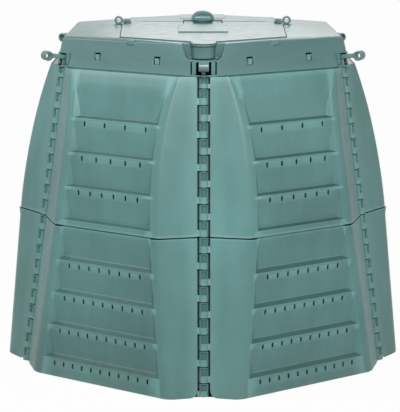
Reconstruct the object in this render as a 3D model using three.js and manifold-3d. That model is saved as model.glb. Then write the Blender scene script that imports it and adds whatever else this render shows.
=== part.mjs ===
// Hexagonal garden compost bin with a two-flap lid, in millimetres, +Z up.
// The origin is the middle of the base on the ground, and one seam faces -Y.
// Two rows of six wall panels interlock like hinge leaves round six seam rods. A fixed roof
// ring sits on their top shoulder and carries two filling flaps and a vent knob.

import * as THREE from "three";
import { ConvexGeometry } from "three/addons/geometries/ConvexGeometry.js";
import { mergeVertices } from "three/addons/utils/BufferGeometryUtils.js";
import Module from "manifold-3d";

const wasm = await Module();
wasm.setup();

// Body: six seams that lean inwards, with a split between the lower and the upper walls
const SIDES = 6;
const FIRST_WALL_TURN = 0.5; // in sixths of a turn from the front seam
const BASE_SEAM_RADIUS = 648;
const RIM_SEAM_RADIUS = 497;
const SPLIT_HEIGHT = 470.5;
const RIM_HEIGHT = 933;
const SPLIT_GAP = 3;

// Wall plan: a main face between two ridges, and a wing from each ridge to its seam
const RIDGE_LEAD_BASE = 19; // ridge plane ahead of the seam axis
const RIDGE_LEAD_SPLIT = 28;
const RIDGE_LEAD_RIM = 11;
const RIDGE_CURVE_POWER = 1.2;
const WING_BASE = 106; // ridge to the seam's mid plane
const WING_SPLIT = 133;
const WING_RIM = 72;
const WING_CURVE_POWER = 3;
const RIDGE_CUT_BASE = 22; // width taken off the ridge on each side
const RIDGE_CUT_RIM = 5;
const PANEL_THICKNESS = 4;
const WING_GAP = 17; // seam axis to the wing's edge
const WING_LEAD = 6; // wing face ahead of the seam axis
const UPPER_LEVEL_SHARES = [0, 0.35, 0.6, 0.82, 1];

// Louvres: each field slopes in towards its foot and ends on a ledge
const UPPER_FIELD_PITCH = 101.2;
const LOWER_FIELD_PITCH = 103;
const UPPER_FIELD_LIFT = 20; // lowest ledge above the wall's foot
const LOWER_FIELD_LIFT = 57.5;
const FIELDS = 4;
const FIELD_HEIGHT = 92;
const FIELD_DEPTH = 16;
const FIELD_MARGIN = 29.5; // ridge to the field's end, up to the split
const FIELD_MARGIN_RIM = 21;
const FIELD_SLANT = 14; // each end of the recess leans in by this much at its floor
const UPPER_LEDGE_DROP = 4; // floor's back edge above the lip
const LOWER_LEDGE_DROP = 8.5;
const SINK_SHARE = 0.8; // of the panel's thickness, where added material starts inside it
const CREST_LAP = 6; // backing's start above the field's top

// Air slots, in a row below a ledge
const SLOT_WIDTH = 5;
const SLOT_HEIGHT = 15;
const SLOT_DROP = 16; // ledge to the slot's middle
const UPPER_SLOT_COUNTS = [0, 6, 5, 4]; // from the lowest field up
const LOWER_SLOT_COUNTS = [11, 10, 9, 8];
const UPPER_SLOT_SPREAD_SHARES = [0, 0.7, 0.705, 0.725]; // of the field's half width
const LOWER_SLOT_SPREAD_SHARES = [0.82, 0.795, 0.775, 0.755];

// Knuckles and the rods through them
const KNUCKLE_PITCH = 47.4; // counted from the split, alternating between the two walls
const KNUCKLE_RADIUS = 14.5;
const KNUCKLE_GAP = 1.6;
const KNUCKLE_END = 3; // row's end to the ground and to the rim
const WEB_THICKNESS = 3; // where a knuckle runs out into the wing's edge
const WEB_ROOT = 2;
const ROD_WIDTH = 11;
const ROD_CLEARANCE = 0.5;
const ROD_FOOT = 6;

// Rod head: an arm out of the corner notch, with a finger eye
const EYE_REACH = 552; // centre line of the bin to the eye's middle
const EYE_HEIGHT = 968;
const EYE_RADIUS = 15;
const EYE_BORE_RADIUS = 8.5;
const EYE_LENGTH = 30;
const EYE_SEGMENTS = 12;
const ARM_WIDTH = 26;
const ARM_THICKNESS = 13;
const ARM_DROP = 7; // eye's middle to the arm's mid line at the rod

// Lap between the wall rows, and the pads that the upper walls stand on
const LAP_CLEARANCE = 0.9;
const LAP_THICKNESS = 3;
const LAP_HEIGHT = 10;
const LAP_ROOT = 14;
const PAD_WIDTH = 24;
const PAD_INSET = 50;
const SEAT_GAP = 0.3;

// Shoulder and upstand at the top of each upper wall, with two snap tabs
const SHOULDER_THICKNESS = 4;
const SHOULDER_SETBACK = 1;
const UPSTAND_HALF_WIDTH = 175;
const UPSTAND_THICKNESS = 3.5;
const UPSTAND_HEIGHT = 50;
const UPSTAND_CLEARANCE = 0.6;
const WINDOW_SIZE = 23;
const WINDOW_OFFSET = 105.5; // window's middle from the middle of its pair
const WINDOW_SHIFT = 10; // a pair's middle from the wall's middle
const WINDOW_SHIFT_SHARES = [1, 0, -1, 1, 0, -1]; // for each wall in turn
const WINDOW_RISE = 37.5; // window's middle above the rim
const TAB_CLEARANCE = 4.5; // tab to the window's sides and top
const TAB_REACH = 3.2;

// Roof ring: a skirt, a low crown and a bridge under the hinge line
const ROOF_THICKNESS = 4;
const SKIRT_FOOT_RADIUS = 522;
const EAVE_RADIUS = 496.5;
const EAVE_HEIGHT = 1022.5;
const EAVE_DIP = 4; // the four side corners hang lower
const BROW_SETBACK = 7.5; // the crown's side corners inside the eave's
const BROW_RISE = 5.5; // and above them
const CROWN_HEIGHT = 1033.5; // the flaps' seat at the hinge line
const CROWN_SLOPE_SHARE = 0.0305;
const RECESS_GAP = 2; // round the flaps, which lie flush with the crown
const RECESS_RIM = 3;
const BRIDGE_HALF_WIDTH = 38;
const FLAP_SEAT_WIDTH = 30;
const CORNER_NOTCH_WIDTH = 76;
const CORNER_NOTCH_TOP = 974;
const CORNER_NOTCH_REACH = 45; // inwards from the skirt's foot
const BOWL_BACK = 448;
const BOWL_FLOOR = 980;
const BOWL_TOP_HALF_WIDTH = 62;
const BOWL_FOOT_HALF_WIDTH = 50;
const BOWL_CHAMFER = 7; // off the bowl's lower corners
const CATCH_WIDTH = 27;
const CATCH_THICKNESS = 8;
const CATCH_HEIGHT = 15;
const CATCH_PROUD = 3;
const CATCH_TURNS = [0.5, 2.5, 3.5, 5.5]; // in sixths of a turn from the front seam

// Filling flaps
const FLAP_TIP = 455;
const FLAP_CORNER_X = 250;
const FLAP_CORNER_Y = 327;
const FLAP_REAR_HALF_WIDTH = 259.5;
const FLAP_REAR_GAP = 3; // hinge line to the flap's rear edge
const FLAP_HEIGHT = 8.5; // flap's edge above its seat
const FLAP_PROUD = 3.5; // flap's edge above the crown's rim
const FLAP_RISE = [
  [190, 9, 6], // half width, distance from the hinge line and height above the edge
  [150, 160, 8.5],
  [79, 300, 9],
];
const FLAP_SKIN = 3.5;
const FLAP_RIM = 4;
const GRIP_RADIUS = 35;
const GRIP_MIDDLE = 456;
const GRIP_FOOT = 983;
const GRIP_BACK = 453;
const GRIP_LIP = 3; // the flap's round end past the drum under it
const GRIP_SEGMENTS = 10;
const STEP_HALF_WIDTH = 76;
const STEP_FRONT = 300;
const STEP_REAR = 120;
const STEP_FRONT_RISE = 12; // above the flap's edge
const STEP_REAR_RISE = 8;

// Flap hinges: one knuckle of each flap on either side of a roof lug, on a ringed pin
const HINGE_RISE = 14.5; // hinge line above the flaps' seat
const HINGE_RADIUS = 8;
const HINGE_BORE_RADIUS = 4.6;
const HINGE_PIN_RADIUS = 4;
const HINGE_LUG_X = 245;
const HINGE_LENGTH = 6;
const HINGE_SIDE_GAP = 1;
const HINGE_SEGMENTS = 10;
const HINGE_POCKET_DEPTH = 11;
const HINGE_POCKET_LENGTH = 26;
const LEAF_REACH = 18;
const PIN_EYE_X = 272.5;
const PIN_EYE_RISE = 3;
const PIN_EYE_RADIUS = 14;
const PIN_EYE_BORE_RADIUS = 7.5;
const PIN_EYE_THICKNESS = 9;
const PIN_EYE_ROOM = 5; // the crown's pocket round a pin eye
const PIN_TAIL = 2; // pin past its innermost knuckle

// Vent: a hub on the bridge, a turn knob and a shutter disc under the hub
const HUB_HALF_WIDTH = 62;
const HUB_GAP = 2;
const HUB_SKIN = 4;
const VENT_HOLES = 6;
const VENT_HOLE_RADIUS = 6;
const VENT_CIRCLE_RADIUS = 47;
const VENT_SEGMENTS = 6;
const KNOB_RADIUS = 38;
const KNOB_FOOT_RADIUS = 30;
const KNOB_HEIGHT = 41;
const KNOB_RIM_HEIGHT = 11; // widest place above the foot
const KNOB_SEGMENTS = 20;
const KNOB_CROWN_STEPS = 4;
const SCOOP_RADIUS = 14;
const SCOOP_REACH = 40; // middle of the knob to a scoop's axis
const SCOOP_RISE = 23.5;
const SPINDLE_RADIUS = 9;
const SPINDLE_CLEARANCE = 0.6;
const SPINDLE_LENGTH = 24;
const DISC_RADIUS = 54;
const DISC_THICKNESS = 4;
const CLIP_RADIUS = 16;
const CLIP_THICKNESS = 4;
const ROUND_SEGMENTS = 16;

// Making
const OVERRUN = 10; // how far a cut runs past a face
const WELD = 1e-4;
const PLASTIC = { color: 0x6f928c, roughness: 0.5, metalness: 0 };
const LID_PLASTIC = { color: 0x7c9d97, roughness: 0.45, metalness: 0 };
const DARK_PLASTIC = { color: 0x55756f, roughness: 0.55, metalness: 0 };

const { lerp } = THREE.MathUtils;
const HALF_ANGLE = Math.PI / SIDES;
const SIN_HALF = Math.sin(HALF_ANGLE);
const COS_HALF = Math.cos(HALF_ANGLE);
const CROWN_TILT = Math.atan(CROWN_SLOPE_SHARE);

// Solids from three.js geometry

function solidOf(geometry) {
  const bare = geometry.index ? geometry.toNonIndexed() : geometry.clone();
  const extras = Object.keys(bare.attributes).filter((name) => name !== "position");
  extras.forEach((name) => bare.deleteAttribute(name));
  const merged = mergeVertices(bare, WELD);
  const vertProperties = merged.attributes.position.array;
  const triVerts = new Uint32Array(merged.index.array);
  return new wasm.Manifold(new wasm.Mesh({ numProp: 3, vertProperties, triVerts }));
}

function geometryOf(solid) {
  const { vertProperties, triVerts } = solid.getMesh();
  const geometry = new THREE.BufferGeometry();
  geometry.setAttribute("position", new THREE.BufferAttribute(vertProperties, 3));
  geometry.setIndex(new THREE.BufferAttribute(triVerts, 1));
  const flat = geometry.toNonIndexed();
  flat.computeVertexNormals();
  return flat;
}

const joined = (solids) => solids.reduce((sum, solid) => sum.add(solid));
const cutFrom = (solid, tools) => tools.reduce((rest, tool) => rest.subtract(tool), solid);
const point = (x, y, z) => new THREE.Vector3(x, y, z);
const hull = (points) => solidOf(new ConvexGeometry(points));

// A box from its lowest to its highest corner.
function box([x0, y0, z0], [x1, y1, z1]) {
  const geometry = new THREE.BoxGeometry(x1 - x0, y1 - y0, z1 - z0);
  return solidOf(geometry.translate((x0 + x1) / 2, (y0 + y1) / 2, (z0 + z1) / 2));
}

// An upright prism over an outline.
function prismGeometry(outline, foot, top, holes = []) {
  const shape = new THREE.Shape(outline);
  shape.holes = holes.map((hole) => new THREE.Path(hole));
  const geometry = new THREE.ExtrudeGeometry(shape, { depth: top - foot, bevelEnabled: false });
  return geometry.translate(0, 0, foot);
}

const prism = (outline, foot, top, holes) => solidOf(prismGeometry(outline, foot, top, holes));

function regularOutline(radius, sides, turn = 0) {
  return Array.from({ length: sides }, (_, i) => {
    const angle = turn + (2 * Math.PI * i) / sides;
    return new THREE.Vector2(radius * Math.cos(angle), radius * Math.sin(angle));
  });
}

const upright = (radius, foot, top, segments = ROUND_SEGMENTS) =>
  prism(regularOutline(radius, segments), foot, top);

// A round bar along X or Y, centred on a place.
function barAlong(axis, radius, length, centre, segments) {
  const geometry = new THREE.CylinderGeometry(radius, radius, length, segments);
  if (axis === "x") geometry.rotateZ(Math.PI / 2);
  return solidOf(geometry.translate(...centre));
}

function mirroredX(geometry) {
  const flipped = geometry.clone().applyMatrix4(new THREE.Matrix4().makeScale(-1, 1, 1));
  const loose = flipped.index ? flipped.toNonIndexed() : flipped;
  const { array } = loose.attributes.position;
  for (let i = 0; i < array.length; i += 9) {
    for (let k = 0; k < 3; k++) {
      [array[i + k], array[i + 6 + k]] = [array[i + 6 + k], array[i + k]];
    }
  }
  return loose;
}

// A line of points moved to its left, with mitred corners.
function offsetLine(points, distance, closed = false) {
  const last = points.length - 1;
  const normalFrom = (i) => {
    const start = points[(i + points.length) % points.length];
    const along = points[(i + 1) % points.length].clone().sub(start).normalize();
    return new THREE.Vector2(-along.y, along.x);
  };
  return points.map((place, i) => {
    const before = normalFrom(closed || i > 0 ? i - 1 : i);
    const after = normalFrom(closed || i < last ? i : i - 1);
    const mitre = before.clone().add(after).normalize();
    return place.clone().addScaledVector(mitre, distance / mitre.dot(after));
  });
}

// A closed skin through level outlines of equal length, drawn anticlockwise.
function loft(levels) {
  const rings = levels.map(({ z, outline }) => outline.map((p) => [p.x, p.y, z]));
  const positions = [];
  const triangle = (a, b, c) => positions.push(...a, ...b, ...c);
  rings.slice(1).forEach((upper, k) => {
    const lower = rings[k];
    lower.forEach((corner, i) => {
      const j = (i + 1) % lower.length;
      triangle(corner, lower[j], upper[j]);
      triangle(corner, upper[j], upper[i]);
    });
  });
  const caps = [rings[0], rings[rings.length - 1]];
  caps.forEach((ring, isTop) => {
    const outline = levels[isTop ? levels.length - 1 : 0].outline;
    for (const [a, b, c] of THREE.ShapeUtils.triangulateShape(outline, [])) {
      if (isTop) triangle(ring[a], ring[b], ring[c]);
      else triangle(ring[a], ring[c], ring[b]);
    }
  });
  const geometry = new THREE.BufferGeometry();
  geometry.setAttribute("position", new THREE.Float32BufferAttribute(positions, 3));
  return solidOf(geometry);
}

// Walls, drawn facing -Y and turned into place later

const seamRadiusAt = (z) => lerp(BASE_SEAM_RADIUS, RIM_SEAM_RADIUS, z / RIM_HEIGHT);

function ridgeAt(z) {
  const baseRadius = BASE_SEAM_RADIUS + RIDGE_LEAD_BASE;
  const splitRadius = seamRadiusAt(SPLIT_HEIGHT) + RIDGE_LEAD_SPLIT;
  if (z <= SPLIT_HEIGHT) {
    const rise = z / SPLIT_HEIGHT;
    return { radius: lerp(baseRadius, splitRadius, rise), wing: lerp(WING_BASE, WING_SPLIT, rise) };
  }
  const rise = (z - SPLIT_HEIGHT) / (RIM_HEIGHT - SPLIT_HEIGHT);
  const radius = lerp(splitRadius, RIM_SEAM_RADIUS + RIDGE_LEAD_RIM, rise ** RIDGE_CURVE_POWER);
  return { radius, wing: lerp(WING_SPLIT, WING_RIM, rise ** WING_CURVE_POWER) };
}

// A place beside the right-hand seam, by its radius and its distance from the seam's mid plane.
const besideSeam = (radius, offset) =>
  new THREE.Vector2(radius * SIN_HALF - offset * COS_HALF, -radius * COS_HALF - offset * SIN_HALF);

function ridgePlaceAt(z) {
  const { radius, wing } = ridgeAt(z);
  return besideSeam(radius, wing);
}

const faceAt = (z) => ridgePlaceAt(z).y;

function fieldHalfWidthAt(z) {
  const rise = Math.max(0, (z - SPLIT_HEIGHT) / (RIM_HEIGHT - SPLIT_HEIGHT));
  return ridgePlaceAt(z).x - lerp(FIELD_MARGIN, FIELD_MARGIN_RIM, rise);
}

// The outer line of a wall at a height, from its left seam to its right seam.
function outerLineAt(z) {
  const wingEnd = besideSeam(seamRadiusAt(z) + WING_LEAD, WING_GAP);
  const ridge = ridgePlaceAt(z);
  const cut = lerp(RIDGE_CUT_BASE, RIDGE_CUT_RIM, z / RIM_HEIGHT);
  const onWing = wingEnd.clone().sub(ridge).setLength(cut).add(ridge);
  const onFace = new THREE.Vector2(ridge.x - cut, ridge.y);
  const right = [onFace, onWing, wingEnd];
  const left = right.map((p) => new THREE.Vector2(-p.x, p.y)).reverse();
  return [...left, ...right];
}

// The inner line, from right to left. Its ends keep the wing's edges flat.
function innerLineAt(z) {
  const edge = besideSeam(seamRadiusAt(z) + WING_LEAD - PANEL_THICKNESS, WING_GAP);
  const between = offsetLine(outerLineAt(z), PANEL_THICKNESS).slice(1, -1).reverse();
  return [edge, ...between, new THREE.Vector2(-edge.x, edge.y)];
}

const wallLevelAt = (z) => ({ z, outline: [...outerLineAt(z), ...innerLineAt(z)] });

const mirroredPair = (x, y, z) => [point(-x, y, z), point(x, y, z)];

// The cut for one louvre and the skin behind it.
function louvreAt(ledge, ledgeDrop) {
  const top = ledge + FIELD_HEIGHT;
  const floor = ledge + ledgeDrop;
  const corner = [fieldHalfWidthAt(floor) - FIELD_SLANT, faceAt(floor) + FIELD_DEPTH, floor];
  const crest = [fieldHalfWidthAt(top), faceAt(top), top];
  const lip = [fieldHalfWidthAt(ledge), faceAt(ledge), ledge];
  const run = 1 + OVERRUN / FIELD_DEPTH;
  const past = (place) => place.map((value, i) => lerp(corner[i], value, run));
  const cut = hull([corner, past(crest), past(lip)].flatMap((place) => mirroredPair(...place)));
  const sink = PANEL_THICKNESS * SINK_SHARE;
  const wider = PANEL_THICKNESS;
  const backing = [
    [crest[0] + wider, faceAt(top + CREST_LAP) + sink, top + CREST_LAP],
    [lip[0] + wider, lip[1] + sink, ledge - PANEL_THICKNESS],
    [corner[0] + wider, corner[1] + PANEL_THICKNESS, floor],
    [corner[0] + wider, corner[1] + PANEL_THICKNESS, floor - PANEL_THICKNESS],
  ];
  return { cut, backing: hull(backing.flatMap((place) => mirroredPair(...place))) };
}

function slotRow(ledge, count, spreadShare) {
  const z = ledge - SLOT_DROP;
  const run = fieldHalfWidthAt(ledge) * spreadShare;
  return Array.from({ length: count }, (_, i) => {
    const x = lerp(-run, run, i / (count - 1));
    return box(
      [x - SLOT_WIDTH / 2, faceAt(z) - OVERRUN, z - SLOT_HEIGHT / 2],
      [x + SLOT_WIDTH / 2, faceAt(z) + FIELD_DEPTH + PANEL_THICKNESS, z + SLOT_HEIGHT / 2],
    );
  });
}

function louvredWall(shell, lowestLedge, { pitch, drop, slotCounts, spreadShares }) {
  const ledges = Array.from({ length: FIELDS }, (_, i) => lowestLedge + i * pitch);
  const louvres = ledges.map((ledge) => louvreAt(ledge, drop));
  const backed = joined([shell, ...louvres.map(({ backing }) => backing)]);
  const slots = ledges.flatMap((ledge, i) => slotRow(ledge, slotCounts[i], spreadShares[i]));
  return cutFrom(backed, [...louvres.map(({ cut }) => cut), ...slots]);
}

// The frame of the left-hand seam: X into the wall's wing, Z up the leaning seam.
function leftSeamFrameAt(z) {
  const onSeam = (height) => {
    const place = besideSeam(seamRadiusAt(height), 0);
    return point(-place.x, place.y, height);
  };
  const up = onSeam(RIM_HEIGHT).sub(onSeam(0)).normalize();
  const across = point(COS_HALF, -SIN_HALF, 0);
  const frame = new THREE.Matrix4().makeBasis(across, up.clone().cross(across), up);
  return { matrix: frame.setPosition(onSeam(z)), steepness: up.z };
}

// One six-sided barrel between two heights on the left-hand seam, with a web in place of the
// corner that faces the wing.
function knuckleGeometry(foot, top) {
  const { matrix, steepness } = leftSeamFrameAt(foot);
  const bore = (ROD_WIDTH / 2 + ROD_CLEARANCE) * Math.SQRT2;
  const hole = regularOutline(bore, 4, Math.PI / 4);
  const barrel = regularOutline(KNUCKLE_RADIUS, SIDES).slice(1);
  const webFront = -WING_LEAD + (PANEL_THICKNESS - WEB_THICKNESS) / 2;
  const webBack = webFront + WEB_THICKNESS;
  const web = [
    [KNUCKLE_RADIUS, webFront],
    [WING_GAP + WEB_ROOT, webFront],
    [WING_GAP + WEB_ROOT, webBack],
    [KNUCKLE_RADIUS, webBack],
  ].map(([x, y]) => new THREE.Vector2(x, y));
  const length = (top - foot) / steepness;
  return prismGeometry([...barrel, ...web], 0, length, [hole]).applyMatrix4(matrix);
}

// A wall's knuckles from the split to the row's end, on its two seams in turn. The first one
// is on the right seam above the split and on the left seam below it.
function knuckles(end) {
  const run = end - SPLIT_HEIGHT;
  const count = Math.round(Math.abs(run) / KNUCKLE_PITCH);
  const step = Math.sign(run) * KNUCKLE_PITCH;
  const edges = [...Array.from({ length: count }, (_, i) => SPLIT_HEIGHT + i * step), end];
  return edges.slice(1).map((edge, i) => {
    const foot = Math.min(edge, edges[i]) + KNUCKLE_GAP / 2;
    const top = Math.max(edge, edges[i]) - KNUCKLE_GAP / 2;
    const geometry = knuckleGeometry(foot, top);
    const onLeft = (i % 2 === 1) === run > 0;
    return solidOf(onLeft ? geometry : mirroredX(geometry));
  });
}

// A strip behind the split, and the pads that carry the upper wall.
function lapStrip() {
  const halfWidth = fieldHalfWidthAt(SPLIT_HEIGHT);
  const foot = SPLIT_HEIGHT - LAP_ROOT;
  const middle = SPLIT_HEIGHT - SPLIT_GAP / 2;
  const top = SPLIT_HEIGHT + LAP_HEIGHT;
  const front = PANEL_THICKNESS + LAP_CLEARANCE;
  const levelAt = (z, start) => [
    ...mirroredPair(halfWidth, faceAt(z) + start, z),
    ...mirroredPair(halfWidth, faceAt(z) + front + LAP_THICKNESS, z),
  ];
  const root = hull([...levelAt(foot, PANEL_THICKNESS * SINK_SHARE), ...levelAt(middle, front)]);
  const strip = root.add(hull([...levelAt(middle, front), ...levelAt(top, front)]));
  const pads = [-1, 1].map((side) => {
    const x = side * (halfWidth - PAD_INSET);
    const padFoot = foot + SPLIT_GAP;
    const padTop = SPLIT_HEIGHT + SPLIT_GAP / 2 - SEAT_GAP;
    return box(
      [x - PAD_WIDTH / 2, faceAt(padFoot) + PANEL_THICKNESS / 2, padFoot],
      [x + PAD_WIDTH / 2, faceAt(padTop) + PANEL_THICKNESS * SINK_SHARE, padTop],
    );
  });
  return joined([strip, ...pads]);
}

function lowerWall() {
  const top = SPLIT_HEIGHT - SPLIT_GAP / 2;
  const shell = loft([wallLevelAt(0), wallLevelAt(top)]);
  const louvred = louvredWall(shell, LOWER_FIELD_LIFT, {
    pitch: LOWER_FIELD_PITCH,
    drop: LOWER_LEDGE_DROP,
    slotCounts: LOWER_SLOT_COUNTS,
    spreadShares: LOWER_SLOT_SPREAD_SHARES,
  });
  return joined([louvred, lapStrip(), ...knuckles(KNUCKLE_END)]);
}

// The skirt's outer radius at a height, and its distance from the middle across a flat side.
const skirtRadiusAt = (z) =>
  lerp(SKIRT_FOOT_RADIUS, EAVE_RADIUS, (z - RIM_HEIGHT) / (EAVE_HEIGHT - RIM_HEIGHT));
const skirtFaceAt = (z) => -skirtRadiusAt(z) * COS_HALF;

function shoulder() {
  const upstandBack = ROOF_THICKNESS + UPSTAND_CLEARANCE + UPSTAND_THICKNESS;
  const levels = [RIM_HEIGHT - SHOULDER_THICKNESS, RIM_HEIGHT].map((z) => {
    const outer = offsetLine(outerLineAt(z), SHOULDER_SETBACK);
    const inner = innerLineAt(z);
    const back = skirtFaceAt(RIM_HEIGHT) + upstandBack;
    const rear = [1, -1].map((side) => new THREE.Vector2(side * UPSTAND_HALF_WIDTH, back));
    return { z, outline: [...outer, inner[0], ...rear, inner[inner.length - 1]] };
  });
  return loft(levels);
}

// The tongue that stands inside the skirt, with two tabs in the skirt's windows.
function upstand(shift) {
  const front = (z) => skirtFaceAt(z) + ROOF_THICKNESS + UPSTAND_CLEARANCE;
  const heights = [RIM_HEIGHT - SHOULDER_THICKNESS, RIM_HEIGHT + UPSTAND_HEIGHT];
  const sheet = heights.flatMap((z) => [
    ...mirroredPair(UPSTAND_HALF_WIDTH, front(z), z),
    ...mirroredPair(UPSTAND_HALF_WIDTH, front(z) + UPSTAND_THICKNESS, z),
  ]);
  const tabHalf = WINDOW_SIZE / 2 - TAB_CLEARANCE;
  const tabZ = RIM_HEIGHT + WINDOW_RISE;
  const tabFoot = tabZ - WINDOW_SIZE / 2 + UPSTAND_CLEARANCE;
  const tabs = [-1, 1].map((side) => {
    const x = shift + side * WINDOW_OFFSET;
    return box(
      [x - tabHalf, front(tabZ) - TAB_REACH, tabFoot],
      [x + tabHalf, front(tabZ) + UPSTAND_THICKNESS / 2, tabZ + tabHalf],
    );
  });
  return joined([hull(sheet), ...tabs]);
}

function upperWall(windowShift) {
  const foot = SPLIT_HEIGHT + SPLIT_GAP / 2;
  const shell = loft(UPPER_LEVEL_SHARES.map((share) => wallLevelAt(lerp(foot, RIM_HEIGHT, share))));
  const louvred = louvredWall(shell, SPLIT_HEIGHT + UPPER_FIELD_LIFT, {
    pitch: UPPER_FIELD_PITCH,
    drop: UPPER_LEDGE_DROP,
    slotCounts: UPPER_SLOT_COUNTS,
    spreadShares: UPPER_SLOT_SPREAD_SHARES,
  });
  const seams = knuckles(RIM_HEIGHT - KNUCKLE_END);
  return joined([louvred, shoulder(), upstand(windowShift), ...seams]);
}

// Seam rod, drawn on the seam that faces -Y

function seamRod() {
  const armHeight = EYE_HEIGHT - ARM_DROP;
  const rodTop = armHeight + ARM_THICKNESS / 2;
  const bar = [ROD_FOOT, rodTop].flatMap((z) => [
    ...mirroredPair(ROD_WIDTH / 2, -seamRadiusAt(z) - ROD_WIDTH / 2, z),
    ...mirroredPair(ROD_WIDTH / 2, -seamRadiusAt(z) + ROD_WIDTH / 2, z),
  ]);
  const armEnds = [
    [-seamRadiusAt(armHeight) + ROD_WIDTH / 2, armHeight],
    [(EYE_BORE_RADIUS + EYE_RADIUS) / 2 - EYE_REACH, EYE_HEIGHT],
  ];
  const arm = armEnds.flatMap(([y, z]) => [
    ...mirroredPair(ARM_WIDTH / 2, y, z - ARM_THICKNESS / 2),
    ...mirroredPair(ARM_WIDTH / 2, y, z + ARM_THICKNESS / 2),
  ]);
  const eyeCentre = [0, -EYE_REACH, EYE_HEIGHT];
  const bore = barAlong("x", EYE_BORE_RADIUS, EYE_LENGTH + OVERRUN, eyeCentre, EYE_SEGMENTS);
  const eye = barAlong("x", EYE_RADIUS, EYE_LENGTH, eyeCentre, EYE_SEGMENTS);
  return joined([hull(bar), hull(arm), eye]).subtract(bore);
}

// Roof ring

const crownAt = (y) => CROWN_HEIGHT - CROWN_SLOPE_SHARE * Math.abs(y);

// The corners of the crown round the two flaps, outside the flaps' own outline.
function crownCorners(outside, rise) {
  const tip = FLAP_TIP + outside;
  const cornerX = FLAP_CORNER_X + outside;
  const cornerY = FLAP_CORNER_Y + outside;
  const side = FLAP_REAR_HALF_WIDTH + outside;
  const corners = [
    [0, -tip],
    [cornerX, -cornerY],
    [side, 0],
    [cornerX, cornerY],
    [0, tip],
    [-cornerX, cornerY],
    [-side, 0],
    [-cornerX, -cornerY],
  ];
  return corners.map(([x, y]) => point(x, y, crownAt(y) + rise));
}

// The six corners of the skirt, at the height that each corner has.
function skirtCorners(inset, heights) {
  return heights.map((z, i) => {
    const radius = skirtRadiusAt(z) - inset / COS_HALF;
    const angle = -Math.PI / 2 + i * 2 * HALF_ANGLE;
    return point(radius * Math.cos(angle), radius * Math.sin(angle), z);
  });
}

function skirtPoints(inset, foot) {
  const tip = EAVE_HEIGHT - inset;
  const side = tip - EAVE_DIP;
  const feet = Array.from({ length: SIDES }, () => foot);
  return [
    ...skirtCorners(inset, feet),
    ...skirtCorners(inset, [tip, side, side, tip, side, side]),
  ];
}

// The four side corners of the crown, above and inside those of the eave.
function browPoints() {
  const radius = EAVE_RADIUS - BROW_SETBACK;
  const z = EAVE_HEIGHT - EAVE_DIP + BROW_RISE;
  return [-1, 1].flatMap((side) => mirroredPair(radius * COS_HALF, side * radius * SIN_HALF, z));
}

function roofOutside(foot) {
  const crown = crownCorners(RECESS_GAP + RECESS_RIM, FLAP_HEIGHT - FLAP_PROUD);
  return hull([...skirtPoints(0, foot), ...browPoints(), ...crown]);
}

function roofInside(foot) {
  const crown = crownCorners(RECESS_GAP - ROOF_THICKNESS, -ROOF_THICKNESS);
  return hull([...skirtPoints(ROOF_THICKNESS, foot), ...crown]);
}

// The flap's round end, drawn level at the hinge line and grown for its recess.
function gripDisc(grown, foot, top) {
  const outline = regularOutline(GRIP_RADIUS + GRIP_LIP + grown, 2 * GRIP_SEGMENTS);
  return prism(outline.map(({ x, y }) => new THREE.Vector2(x, y - GRIP_MIDDLE)), foot, top);
}

// The recess for the front flap, open to the rear one's at the hinge line.
function flapRecess() {
  const right = [
    [FLAP_CORNER_X, -FLAP_CORNER_Y],
    [FLAP_REAR_HALF_WIDTH, 0],
  ];
  const left = right.map(([x, y]) => [-x, y]).reverse();
  const corners = [[0, -FLAP_TIP], ...right, ...left];
  const outline = corners.map(([x, y]) => new THREE.Vector2(x, y));
  const top = CROWN_HEIGHT + FLAP_HEIGHT + OVERRUN;
  const plate = prism(offsetLine(outline, -RECESS_GAP, true), CROWN_HEIGHT, top);
  return onCrown(plate.add(gripDisc(RECESS_GAP, CROWN_HEIGHT, top)));
}

function pinEyePocket() {
  const end = PIN_EYE_X + PIN_EYE_RADIUS + PIN_EYE_ROOM;
  const half = PIN_EYE_THICKNESS / 2 + PIN_EYE_ROOM;
  return box([-end, -half, crownAt(half)], [end, half, HUB_TOP + OVERRUN]);
}

// The outline of the hole under one flap, drawn anticlockwise on the front half.
function mouthOutline() {
  const inset = FLAP_SEAT_WIDTH;
  const rear = -BRIDGE_HALF_WIDTH;
  const front = [
    [-FLAP_REAR_HALF_WIDTH + inset, rear],
    [-FLAP_CORNER_X + inset, -FLAP_CORNER_Y + inset / 2],
    [0, -FLAP_TIP + inset / COS_HALF],
    [FLAP_CORNER_X - inset, -FLAP_CORNER_Y + inset / 2],
    [FLAP_REAR_HALF_WIDTH - inset, rear],
  ];
  return front.map(([x, y]) => new THREE.Vector2(x, y));
}

// The bowl at the tip of each flap: a cut, and the grown block that leaves its walls.
function bowlBlock(grown) {
  const back = -BOWL_BACK + grown;
  const front = -SKIRT_FOOT_RADIUS - OVERRUN;
  const top = EAVE_HEIGHT + 2 * OVERRUN;
  const slope = (BOWL_TOP_HALF_WIDTH - BOWL_FOOT_HALF_WIDTH) / (EAVE_HEIGHT - BOWL_FLOOR);
  const halfAt = (z) => BOWL_FOOT_HALF_WIDTH + slope * (z - BOWL_FLOOR) + grown;
  const floor = BOWL_FLOOR - grown;
  const corners = [
    [halfAt(floor) - BOWL_CHAMFER, floor],
    [halfAt(floor + BOWL_CHAMFER), floor + BOWL_CHAMFER],
    [halfAt(top), top],
  ];
  return hull(
    corners.flatMap(([x, z]) => [...mirroredPair(x, back, z), ...mirroredPair(x, front, z)]),
  );
}

function cornerNotch() {
  const half = CORNER_NOTCH_WIDTH / 2;
  const back = -SKIRT_FOOT_RADIUS + CORNER_NOTCH_REACH;
  return box([-half, -SKIRT_FOOT_RADIUS - OVERRUN, RIM_HEIGHT - OVERRUN], [half, back, CORNER_NOTCH_TOP]);
}

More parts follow.
